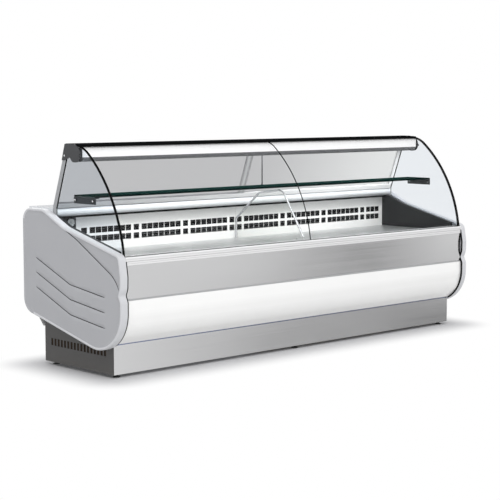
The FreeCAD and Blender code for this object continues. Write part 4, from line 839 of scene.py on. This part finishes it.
# Small parts.
# Profile of (radius, height) rows turned about a line:
# middle + way * height + radius * (across * cos + up * sin).
def turned(profile, middle, way, sides=48):
    rows = np.asarray(profile, float)
    way = np.asarray(way, float)
    across = np.roll(way, 1)
    angle = np.arange(sides) * 2 * math.pi / sides
    spoke = np.cos(angle)[:, None] * across + np.sin(angle)[:, None] * np.cross(way, across)
    points = np.asarray(middle) + rows[:, 1, None, None] * way + rows[:, 0, None, None] * spoke
    return points.reshape(-1, 3), gridFaces(len(rows), sides, closeColumns=True)


# Tube: at each point of the line a circle, path + radius * (across * cos + up * sin).
# Its ends draw to a point.
def tube(path, radius, across, sides=16):
    path = np.asarray(path, float)
    way = np.gradient(path, axis=0)
    way /= np.linalg.norm(way, axis=1)[:, None]
    angle = np.arange(sides) * 2 * math.pi / sides
    circle = (np.cos(angle)[None, :, None] * np.asarray(across, float)
              + np.sin(angle)[None, :, None] * np.cross(way, across)[:, None])
    rings = path[:, None] + radius * circle
    ends = [np.repeat(path[end][None, None], sides, axis=1) for end in (0, -1)]
    rings = np.concatenate([ends[0], rings, ends[1]])
    return rings.reshape(-1, 3), gridFaces(len(rings), sides, closeColumns=True)


# Plate: an outline of (right, up) points carried along out. Its front edge draws in along a quarter circle.
def slab(outline, middle, right, up, out, thick, roll=0.0):
    outline = np.asarray(outline, float)
    inward = facingIn(outline)
    turn = np.linspace(0.0, math.pi / 2, 4 if roll else 1)
    insets = np.concatenate([[0.0], roll * (1 - np.cos(turn))])
    heights = np.concatenate([[0.0], thick - roll * (1 - np.sin(turn))])
    flat = outline + inward * insets[:, None, None]
    frame3 = np.stack([np.asarray(right, float), np.asarray(up, float)])
    rings = np.asarray(middle) + flat @ frame3 + heights[:, None, None] * np.asarray(out, float)
    count = len(outline)
    caps = [list(range(count)), list(range((len(insets) - 1) * count, len(insets) * count))]
    return rings.reshape(-1, 3), gridFaces(len(insets), count, closeColumns=True) + caps


def joined(parts):
    points, faces, first = [], [], 0
    for spots, quads in parts:
        points.append(spots)
        faces += [[corner + first for corner in quad] for quad in quads]
        first += len(spots)
    return np.concatenate(points), faces


# Outline of a rectangle with rounded corners.
def plate(left, right, bottom, top, corner, spacing=0.006):
    corners = [(left, bottom), (right, bottom), (right, top), (left, top)]
    return roundedPath([(*spot, corner) for spot in corners], spacing=spacing)


def bar(length, width, corner=0.0, start=0.0):
    # outline of a bar that runs up from its start
    return plate(-width / 2, width / 2, start, start + length, corner, spacing=0.0006)


def spun(outline, degrees):
    turn = math.radians(degrees)
    matrix = np.array([[math.cos(turn), -math.sin(turn)], [math.sin(turn), math.cos(turn)]])
    return outline @ matrix


# Piece made of several closed shapes, in the finish of that name.
def addPiece(name, parts, finish, slot=None, body="case", stands=(), crease=35.0):
    newPiece(name, *joined(parts), body, slot or finish, finishes[finish], stands, crease)


# Figures: the outline letters of a text made a mesh, then placed at middle + right * x + up * y.
def figures(words, size, middle, right, up, out, lift=0.0002):
    text = bpy.data.curves.new("figures", "FONT")
    text.body, text.size, text.extrude = words, size, lift
    text.align_x, text.align_y = "CENTER", "CENTER"
    holder = bpy.data.objects.new("figures", text)
    mesh = bpy.data.meshes.new_from_object(holder)
    flat = np.empty(len(mesh.vertices) * 3)
    mesh.vertices.foreach_get("co", flat)
    axes = np.stack([np.asarray(right, float), np.asarray(up, float), np.asarray(out, float)])
    points = np.asarray(middle) + flat.reshape(-1, 3) @ axes
    faces = [list(face.vertices) for face in mesh.polygons]
    bpy.data.objects.remove(holder)
    bpy.data.curves.remove(text)
    bpy.data.meshes.remove(mesh)
    return points, faces


# Divider: bright round tube that frames the clear pane. Stops of its line are counted from the pane's box.
dividerFrame = {
    "radius": 0.0065, "spacing": 0.01, "bend": 0.028, "foot": 0.004, "upright": 0.132,
    "shoulder": (0.2285, 0.0265), "crest": (0.221, 0.184), "crestDrop": 0.021,
    "toe": (0.0085, 0.046), "bendSpacing": 0.004}


def makeDividerFrame():
    look = dividerFrame
    low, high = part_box("divider")
    rear, top, bend = high.y - look["radius"], high.z - look["radius"], look["bend"]
    shoulder, crest, toe = look["shoulder"], look["crest"], look["toe"]
    line = [(rear, low.z + look["foot"], 0.0), (rear, low.z + look["upright"], bend),
            (high.y - shoulder[0], top - shoulder[1], bend), (low.y + crest[0], top, bend),
            (low.y + crest[1], top - look["crestDrop"], bend), (low.y + toe[0], low.z + toe[1], 0.0)]
    bent = roundedPath(line, closed=False, spacing=look["bendSpacing"])
    flat = evenly(bent, look["spacing"], closed=False)
    path = np.column_stack([np.full(len(flat), (low.x + high.x) / 2), flat])
    addPiece("dividerFrame", [tube(path, look["radius"], alongX)], "tubeSteel", "stainless")


# Thermometer: rolled bezel, white face with scale, needle and lens. Profile rows are (radius, height).
# Those of the bezel give how far inside the rim they lie.
thermometer = {
    "sink": 0.007, "face": 0.0035, "inner": 0.0207, "paper": 0.0003, "seam": 0.0002,
    "print": 0.0001, "body": [(0.0, -0.0218), (0.018, -0.0218), (0.02, -0.02), (0.02, 0.0)],
    "bezel": [(0.0005, 0.0), (0.0, 0.001), (0.0, 0.0045), (0.0012, 0.0064), (0.003, 0.007),
              (0.0044, 0.0062)],
    "sweep": 240.0, "ticks": 25, "longEvery": 6, "longTick": 0.0034, "shortTick": 0.0019,
    "tickWidth": 0.00045, "tickReach": 0.0188,
    "figures": (("-20", -120.0), ("0", 0.0), ("20", 120.0)), "figureSize": 0.0042,
    "figureReach": 0.0122,
    "needle": [(-0.0007, -0.005), (0.0007, -0.005), (0.0003, 0.015), (-0.0003, 0.015)],
    "needleTurn": -28.0, "needleRise": 0.0008, "needleThick": 0.0003,
    "cap": [(0.0, 0.0), (0.0026, 0.0), (0.0026, 0.0014), (0.0018, 0.0018), (0.0, 0.0018)],
    "lens": [(0.0, 0.0026), (0.0205, 0.002), (0.0205, 0.0016), (0.0, 0.0021)]}


def makeThermometer():
    look = thermometer
    low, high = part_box("thermometer")
    radius = (high.x - low.x) / 2
    middle = ((low.x + high.x) / 2, low.y + look["sink"], (low.z + high.z) / 2)
    axes = alongX, alongZ, towardsFront
    inner, face, top, ink = look["inner"], look["face"], look["face"] + look["paper"], look["print"]
    bezel = [(radius - inset, height) for inset, height in look["bezel"]]
    case = turned([*look["body"], *bezel, (inner, face), (0.0, face)], middle, towardsFront, 64)
    addPiece("thermometerCase", [case], "chrome_trim", stands=["thermometer"], crease=30.0)
    edge = inner - look["seam"]
    disc = turned([(0.0, face), (edge, face), (edge, top), (0.0, top)], middle, towardsFront, 64)
    addPiece("thermometerFace", [disc], "dialWhite", "switch_white")
    at = (middle[0], middle[1] - face - look["paper"], middle[2])
    marks = []
    for tick in range(look["ticks"]):
        angle = look["sweep"] * (tick / (look["ticks"] - 1) - 0.5)
        length = look["longTick"] if tick % look["longEvery"] == 0 else look["shortTick"]
        stroke = bar(length, look["tickWidth"], start=look["tickReach"] - length)
        marks.append(slab(spun(stroke, angle), at, *axes, ink))
    for number, angle in look["figures"]:
        turn, reach = math.radians(angle), look["figureReach"]
        spot = (at[0] + math.sin(turn) * reach, at[1], at[2] + math.cos(turn) * reach)
        marks.append(figures(number, look["figureSize"], spot, *axes, ink))
    addPiece("thermometerScale", marks, "control_black")
    raised = (at[0], at[1] - look["needleRise"], at[2])
    pointer = slab(spun(np.array(look["needle"]), look["needleTurn"]), raised, *axes, look["needleThick"])
    cap = turned(look["cap"], at, towardsFront, 24)
    addPiece("thermometerNeedle", [pointer, cap], "needleBlue", "switch_green")
    addPiece("thermometerLens", [turned(look["lens"], at, towardsFront, 48)], "lensGlass", "clear_glass")


# Control panel: knob with a grip bar and scale, rocker marks, lit figures.
# Bars are (length, width, corner, start).
knob = {
    "stem": [(0.0, -0.0238), (0.0038, -0.0238), (0.0038, 0.0002)],
    "rim": [(0.0, 0.0002), (0.0, 0.0014), (0.0008, 0.0022), (0.002, 0.0025)],
    "dome": [(0.009, 0.0029), (0.0, 0.0029)], "grip": (0.036, 0.0078, 0.0036, -0.018),
    "gripRoll": 0.0016, "pointer": (0.009, 0.0012, 0.0004, 0.006), "pointerThick": 0.0001,
    "steps": 8, "sweep": 270.0, "tick": (0.0026, 0.0007), "tickGap": 0.0015, "figureGap": 0.0085,
    "figureSize": 0.0062, "print": 0.00015}
rocker = {
    "slope": (0.0, -2.0, 16.5), "ring": (0.0009, 0.0011, 0.0, 0.0027), "ringTurn": 15,
    "ringRise": 0.0021, "ringDrop": 0.0085, "stroke": (0.0066, 0.001, 0.0, -0.0033),
    "strokeRise": 0.009, "print": 0.0001,
    "marks": (("power_switch", "dialWhite"), ("light_switch", "control_black"))}
display = {
    "x": 1.055, "z": 0.795, "wide": 0.0348, "tall": 0.0158, "corner": 0.002, "sink": 0.002,
    "thick": 0.0024, "roll": 0.0006, "text": "3.5", "textSize": 0.021, "textRise": 0.0004,
    "textZ": 0.7935, "print": 0.0001, "spacing": 0.001}


def makeKnob(face, axes):
    look = knob
    low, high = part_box("thermostat_knob")
    radius, reach = (high.x - low.x) / 2, high.y - face
    middle = ((low.x + high.x) / 2, face, (low.z + high.z) / 2)
    rim = [(radius - inset, height) for inset, height in look["rim"]]
    skirt = turned([*look["stem"], *rim, *look["dome"]], middle, alongY, 64)
    grip = slab(bar(*look["grip"]), middle, *axes, reach, look["gripRoll"])
    addPiece("thermostatGrip", [skirt, grip], "control_black", body="thermostat_knob",
             stands=["thermostat_knob"], crease=30.0)
    line = slab(bar(*look["pointer"]), (middle[0], face + reach, middle[2]), *axes, look["pointerThick"])
    addPiece("thermostatPointer", [line], "dialWhite", "switch_white", "thermostat_knob")
    marks = []
    for step in range(look["steps"]):
        angle = step * look["sweep"] / (look["steps"] - 1)
        turn, away = math.radians(angle), radius + look["figureGap"]
        tick = bar(*look["tick"], start=radius + look["tickGap"])
        marks.append(slab(spun(tick, angle), middle, *axes, look["print"]))
        spot = (middle[0] - math.sin(turn) * away, face, middle[2] + math.cos(turn) * away)
        marks.append(figures(str(step), look["figureSize"], spot, *axes, look["print"]))
    addPiece("thermostatScale", marks, "dialWhite", "switch_white")


def makeControls():
    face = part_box("control_panel")[1].y
    right, up, out = axes = (-1.0, 0.0, 0.0), alongZ, alongY
    makeKnob(face, axes)
    look = rocker
    slope = Vector(look["slope"]).normalized()
    tilted = right, tuple(slope), (0.0, slope.z, -slope.y)
    for node, colour in look["marks"]:
        low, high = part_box(node)
        x, z = (low.x + high.x) / 2, (low.z + high.z) / 2
        at = (x, face + look["ringRise"], z - look["ringDrop"])
        marks = [slab(spun(bar(*look["ring"]), angle), at, *tilted, look["print"])
                 for angle in range(0, 360, look["ringTurn"])]
        marks.append(slab(bar(*look["stroke"]), (x, face, z + look["strokeRise"]), *tilted, look["print"]))
        addPiece(node.replace("_switch", "SwitchMarks"), marks, colour, "switch_white", node)
    look = display
    outline = plate(-look["wide"], look["wide"], -look["tall"], look["tall"], look["corner"],
                    look["spacing"])
    window = slab(outline, (look["x"], face - look["sink"], look["z"]), *axes, look["thick"], look["roll"])
    addPiece("displayWindow", [window], "displayLens", "control_black")
    at = (look["x"], face + look["textRise"], look["textZ"])
    digits = figures(look["text"], look["textSize"], at, *axes, look["print"])
    addPiece("displayFigures", [digits], "displayRed", "control_black")


# Fans: twisted blades of an oval section on a domed hub.
# Blade point at share u out and angle t round its section: radius r = hub + u * span, turned by
# cos(t) * width(r), raised by cos(t) * pitch(r) + camber * sin(t)^2 + thickness * sin(t).
fanShape = {
    "blades": 5, "rows": 10, "ring": 20, "thick": 0.0011, "camber": 0.0022, "hubShare": 0.2,
    "root": 0.002, "tipGap": 0.0035, "width": 0.30, "swell": 0.10, "flare": 0.5, "chord": 2.4,
    "pitch": 0.0105, "flatten": 0.25, "sweep": 0.25, "tipShare": 0.9, "camberFade": 0.3,
    "hubEnds": (-0.0118, 0.012),
    "hub": [(0.002, -0.0118), (0.0, -0.01), (0.0, 0.0085), (0.0015, 0.0108), (0.005, 0.0118)]}
fans = {"condenser_fan": ("condenserFan", alongX, 0.095),
        "evaporator_fan_left": ("evaporatorFanLeft", towardsFront, 0.0779),
        "evaporator_fan_right": ("evaporatorFanRight", towardsFront, 0.0779)}


def makeFan(name, node, middle, way, radius):
    look = fanShape
    way = np.array(way, float)
    across = np.roll(way, 1)
    up = np.cross(way, across)
    hub = radius * look["hubShare"]
    u = np.linspace(0.0, 1.0, look["rows"])[:, None]
    t = (np.arange(look["ring"]) * 2 * math.pi / look["ring"])[None]
    out = hub - look["root"] + u * (radius - look["tipGap"] - hub + look["root"])
    width = ((look["width"] + look["swell"] * np.sin(u * math.pi)) * (1.0 + look["flare"] * (1 - u)) * hub
             * look["chord"] / out)
    pitch = look["pitch"] * (1.0 - look["flatten"] * u)
    thin = np.where((u == 0.0) | (u == 1.0), 0.0, 1.0)
    shut = np.where(u == 1.0, look["tipShare"], 1.0)
    turn = np.cos(t) * width * shut + u * look["sweep"]
    lift = (np.cos(t) * pitch * shut + look["camber"] * np.sin(t) ** 2 * (1 - look["camberFade"] * u)
            - look["camber"] / 2 + look["thick"] * np.sin(t) * thin)
    parts = []
    for blade in range(look["blades"]):
        angle = turn + blade * 2 * math.pi / look["blades"]
        spots = (np.asarray(middle) + (out * np.cos(angle))[..., None] * across
                 + (out * np.sin(angle))[..., None] * up + lift[..., None] * way)
        parts.append((spots.reshape(-1, 3), gridFaces(look["rows"], look["ring"], closeColumns=True)))
    back, front = look["hubEnds"]
    boss = [(hub - inset, height) for inset, height in look["hub"]]
    parts.append(turned([(0.0, back), *boss, (0.0, front)], middle, way, 40))
    addPiece(name, parts, "fan_blade", body=node, stands=[node], crease=40.0)


# Fixings: button-head screws with a cross recess. Those through the side glass have a head on both faces.
fixings = {
    "head": 0.0066, "smaller": 0.0021, "rise": 0.003, "dome": 0.0008, "flat": 0.0009,
    "height": 1.0095, "along": (0.0058, 0.1747), "glassDepth": 0.012,
    "cap": (0.006, 0.0052, 0.0045), "washerBelow": 1.1,
    "washer": [(0.0, 0.0), (0.0092, 0.0), (0.0092, 0.0006), (0.0084, 0.001), (0.0, 0.001)],
    "recess": (0.0052, 0.0013, 0.0003, -0.0026), "recessDepth": 0.0004,
    "recessTurns": (20.0, 110.0)}


def makeFixings():
    look = fixings
    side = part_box("side_glasses")[1].x
    low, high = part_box("screws")
    heads, crosses, washers = [], [], []
    capX, capY, capZ = look["cap"]
    spots = [(side - depth, low.y + along, look["height"], facing)
             for depth, facing in ((0.0, 1.0), (look["glassDepth"], -1.0)) for along in look["along"]]
    spots.append((side + capX, high.y - capY, high.z - capZ, 1.0))
    arc = np.linspace(0.0, math.pi / 2, 8)
    for x, y, z, facing in spots:
        for end in (-1.0, 1.0):
            way = (end * facing, 0.0, 0.0)
            radius = look["head"] if facing > 0 else look["head"] - look["smaller"]
            if facing > 0 and z < look["washerBelow"]:
                washers.append(turned(look["washer"], (end * x, y, z), way, 32))
            dome = [(0.0, 0.0), (radius, 0.0),
                    *zip(radius * np.cos(arc), look["dome"] + (look["rise"] - look["flat"]) * np.sin(arc))]
            heads.append(turned(dome, (end * x, y, z), way, 24))
            at = (end * x + way[0] * (look["rise"] - look["recessDepth"]), y, z)
            for angle in look["recessTurns"]:
                recess = spun(bar(*look["recess"]), angle)
                crosses.append(slab(recess, at, alongY, alongZ, way, look["recessDepth"]))
    addPiece("screwHeads", heads, "chrome_trim", stands=["screws"], crease=30.0)
    addPiece("screwWashers", washers, "black_seal")
    # black crosses on the chrome heads: painted shade in the cross recesses
    addPiece("screwRecessShade", crosses, "black_anodised")


# Levelling feet: round pad, hexagon nut and a ridged stem.
foot = {
    "radius": 0.022, "padRim": [(0.001, 0.0), (0.0, 0.001), (0.0, 0.0035), (0.002, 0.0055)],
    "padTop": [(0.012, 0.0085), (0.009, 0.0095), (0.0, 0.0095)],
    "nut": [(0.0, 0.009), (0.0085, 0.009), (0.0098, 0.0102), (0.0098, 0.0165), (0.0085, 0.0178),
            (0.0, 0.0178)],
    "stem": 0.0052, "ridge": 0.0005, "ridges": 12, "ridgeStep": 0.0006, "stemFrom": 0.017,
    "ridgeFrom": 0.0175, "stemTo": 0.0248}


def makeFeet():
    look = foot
    low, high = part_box("levelling_feet")
    radius, stem = look["radius"], look["stem"]
    pad = [(0.0, 0.0), *[(radius - inset, height) for inset, height in look["padRim"]], *look["padTop"]]
    ridges = [(stem - look["ridge"] * (row % 2), look["ridgeFrom"] + row * look["ridgeStep"])
              for row in range(look["ridges"])]
    thread = [(0.0, look["stemFrom"]), (stem, look["stemFrom"]), *ridges, (0.0, look["stemTo"])]
    pads, nuts = [], []
    for x in (low.x + radius, 0.0, high.x - radius):
        for y in (low.y + radius, high.y - radius):
            middle = (x, y, 0.0)
            pads.append(turned(pad, middle, alongZ, 40))
            nuts += [turned(look["nut"], middle, alongZ, 6), turned(thread, middle, alongZ, 20)]
    addPiece("footPads", pads, "black_foot", stands=["levelling_feet"], crease=30.0)
    addPiece("footNuts", nuts, "black_foot", crease=30.0)


# Thin trims: black seal strip under the worktop's nose, whose black also stands in as painted shade for the
# dark line beneath the nose; dark brown filter mats behind the end slots, which also stand in as painted
# shade inside the plinth; lamp sockets.
trims = {
    "sealBack": 0.0245, "sealTall": 0.0112, "sealWide": 0.007, "sealCorner": 0.0015,
    "sealEnd": 0.01, "mat": (-0.3, 0.29, 0.07, 0.285, 0.004), "matInset": 0.006, "matThick": 0.002,
    "socketRise": 0.016, "socketInset": 0.0002,
    "socket": [(0.0, 0.0), (0.0138, 0.0), (0.0138, 0.013), (0.0125, 0.015), (0.0, 0.015)]}


def makeTrims():
    look = trims
    low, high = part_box("worktop")
    reach, tall = high.x - look["sealEnd"], look["sealTall"]
    outline = bar(tall, look["sealWide"], look["sealCorner"])
    at = (reach, low.y + look["sealBack"], low.z - tall)
    seal = slab(outline, at, alongY, alongZ, (-1.0, 0.0, 0.0), 2 * reach)
    # black seal, partly painted shade beneath the nose
    addPiece("noseSealAndShade", [seal], "black_seal")
    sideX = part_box("plinth_sides")[1].x - look["matInset"]
    outline = plate(*look["mat"])
    mats = [slab(outline, (end * sideX, 0.0, 0.0), alongY, alongZ, (-end, 0.0, 0.0), look["matThick"])
            for end in (-1.0, 1.0)]
    # filter mats whose dark brown is partly painted shade inside the plinth
    addPiece("filterMats", mats, "filterMat", "dark_baffle")
    low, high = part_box("light_tube")
    y, z, endX = (low.y + high.y) / 2, low.z + look["socketRise"], high.x - look["socketInset"]
    sockets = [turned(look["socket"], (end * endX, y, z), (-end, 0.0, 0.0), 32) for end in (-1.0, 1.0)]
    addPiece("lampSockets", sockets, "fin_aluminium")


makeEndGaskets()
makeDividerFrame()
makeThermometer()
makeControls()
makeFixings()
makeFeet()
makeTrims()
joints = {joint["child"]: joint for joint in record["behaviour"]["joints"]}
for node, (name, way, radius) in fans.items():
    makeFan(name, node, joints[node]["pos_m"], way, radius)
print("small parts made")

# Studio.
studio = {
    # the floor's colour near the case is a painted shadow
    "floorHalf": 40.0, "floorShadowTone": linear(196, 196, 198), "floorBounce": linear(238, 238, 238),
    "fadeFrom": 0.0, "fadeTo": 0.34, "keep": 0.97, "halfLong": 1.5, "halfDeep": 0.336,
    "forward": 0.012, "above": 0.85, "level": 0.70, "below": 0.47, "rise": (-0.6, 0.9),
    "fall": (-0.7, 0.1)}
lamps = {
    "keyLamp": {"at": (-3.2, -4.6, 5.6), "aim": (0.0, 0.0, 0.7), "size": 4.0, "watts": 150.0},
    "fillLamp": {"at": (4.5, -5.0, 3.6), "aim": (0.4, 0.0, 0.6), "size": 4.0, "watts": 40.0},
    "backLamp": {"at": (1.5, 5.5, 4.6), "aim": (0.0, 0.2, 0.8), "size": 4.0, "watts": 90.0},
}
mirrorSide = {"turn": 45.0, "split": (-0.140, -0.131),
              "high": ((-1.0, 0.93), (-0.11, 0.88), (-0.03, 0.98), (0.015, 0.60), (0.048, 0.20),
                       (0.066, 0.18), (0.088, 1.0), (1.0, 0.98)),
              "low": ((-1.0, 0.95), (-0.118, 0.93), (-0.041, 0.62), (0.012, 0.36), (0.03, 0.36),
                      (0.062, 0.84), (0.084, 0.04), (0.14, 0.04), (1.0, 0.9))}
caseLamp = {"wide": 2.9, "deep": 0.07, "drop": 0.006, "watts": 12.0}
lens = {"at": (-6.4362, -6.7406, 1.5734), "pitch": -0.1029, "heading": -0.7541, "length": 102.63,
        "sensor": 36.0, "clipEnd": 200.0}


def dressStudio():
    reach = studio["floorHalf"]
    mesh = bpy.data.meshes.new("floor")
    corners = [(-reach, -reach, 0.0), (reach, -reach, 0.0), (reach, reach, 0.0), (-reach, reach, 0.0)]
    mesh.from_pydata(corners, [], [(0, 1, 2, 3)])
    floor = addObject("floor", mesh)
    floor.visible_glossy = False
    mesh.materials.append(floorFinish())


def floorFinish():
    # grey near the case, a painted shadow under the lamps' real shadow, and the floor fades to plain white
    # away from it
    finish = newFinish("studioFloor")
    where = finish.place()
    along = abs(finish.axis(where, "X"))
    outX = finish.maths("MAXIMUM", along - studio["halfLong"], 0.0)
    across = abs(finish.axis(where, "Y") + studio["forward"])
    outY = finish.maths("MAXIMUM", across - studio["halfDeep"], 0.0)
    gap = finish.maths("SQRT", outX * outX + outY * outY)
    away = finish.between(gap, studio["fadeFrom"], studio["fadeTo"])
    seen = finish.node("LightPath", output="Is Camera Ray")
    shown = finish.node("BsdfDiffuse", {}, {"Color": studio["floorShadowTone"]})
    pale = finish.node("BsdfDiffuse", {}, {"Color": studio["floorBounce"]})
    lit = finish.node("MixShader", {}, {0: seen, 1: pale, 2: shown})
    white = finish.node("Emission", {}, {"Color": (1.0, 1.0, 1.0, 1.0), "Strength": 1.0})
    share = seen * ((1.0 - studio["keep"]) + away * studio["keep"])
    return finish.close(finish.node("MixShader", {}, {0: share, 1: lit, 2: white}))


def lightWorld():
    # soft light from all round, brighter above; metal sees a darker side to the right of the customer
    world = bpy.data.worlds.new("studioWorld")
    bpy.context.scene.world = world
    finish = Finish(world)
    way = finish.node("TexCoord", output="Generated")
    height = finish.axis(way, "Z")
    rise = finish.between(height, *studio["rise"])
    soft = (studio["below"] + (studio["level"] - studio["below"]) * finish.between(height, *studio["fall"])
            + (studio["above"] - studio["level"]) * rise)
    turn = math.radians(mirrorSide["turn"])
    towards = finish.node("VectorMath", {"operation": "DOT_PRODUCT"},
                          {0: way, 1: (math.cos(turn), math.sin(turn), 0.0)}, output="Value")
    ramps = []
    for band in ("low", "high"):
        stops = [((at + 1.0) / 2.0, (level, level, level, 1.0)) for at, level in mirrorSide[band]]
        ramps.append(finish.node("ValToRGB", {"stops": stops}, {"Fac": towards * 0.5 + 0.5}))
    mirrored = ramps[0] + (ramps[1] - ramps[0]) * finish.between(height, *mirrorSide["split"])
    seen = finish.node("LightPath", output="Is Camera Ray")
    glossy = finish.node("LightPath", output="Is Glossy Ray")
    strength = seen + (1.0 - seen) * (glossy * mirrored + (1.0 - glossy) * soft)
    finish.close(finish.node("Background", {}, {"Color": (1.0, 1.0, 1.0, 1.0), "Strength": strength}))


def hangLamps():
    for name, lamp in lamps.items():
        data = bpy.data.lights.new(name, "AREA")
        data.shape = "SQUARE"
        data.size = lamp["size"]
        data.energy = lamp["watts"]
        light = addObject(name, data)
        way = np.array(lamp["aim"]) - np.array(lamp["at"])
        light.location = lamp["at"]
        light.rotation_euler = (math.atan2(math.hypot(way[0], way[1]), -way[2]), 0.0,
                                math.atan2(way[1], way[0]) - math.pi / 2)


def lightInside():
    # the case's own lamp, shining down from under its diffuser
    low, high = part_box("light_diffuser")
    data = bpy.data.lights.new("caseLamp", "AREA")
    data.shape = "RECTANGLE"
    data.size, data.size_y = caseLamp["wide"], caseLamp["deep"]
    data.energy = caseLamp["watts"]
    light = addObject("caseLamp", data)
    light.location = (0.0, (low.y + high.y) / 2, low.z - caseLamp["drop"])
    light.visible_glossy = False


def setCamera():
    data = bpy.data.cameras.new("camera")
    data.lens = lens["length"]
    data.sensor_width = lens["sensor"]
    data.clip_end = lens["clipEnd"]
    camera = addObject("camera", data)
    camera.location = lens["at"]
    camera.rotation_euler = (math.pi / 2 + lens["pitch"], 0.0, lens["heading"])
    bpy.context.scene.camera = camera


dressStudio()
lightWorld()
hangLamps()
lightInside()
setCamera()
bpy.context.scene.view_settings.view_transform = "Standard"
print("studio ready")

bpy.context.view_layer.update()
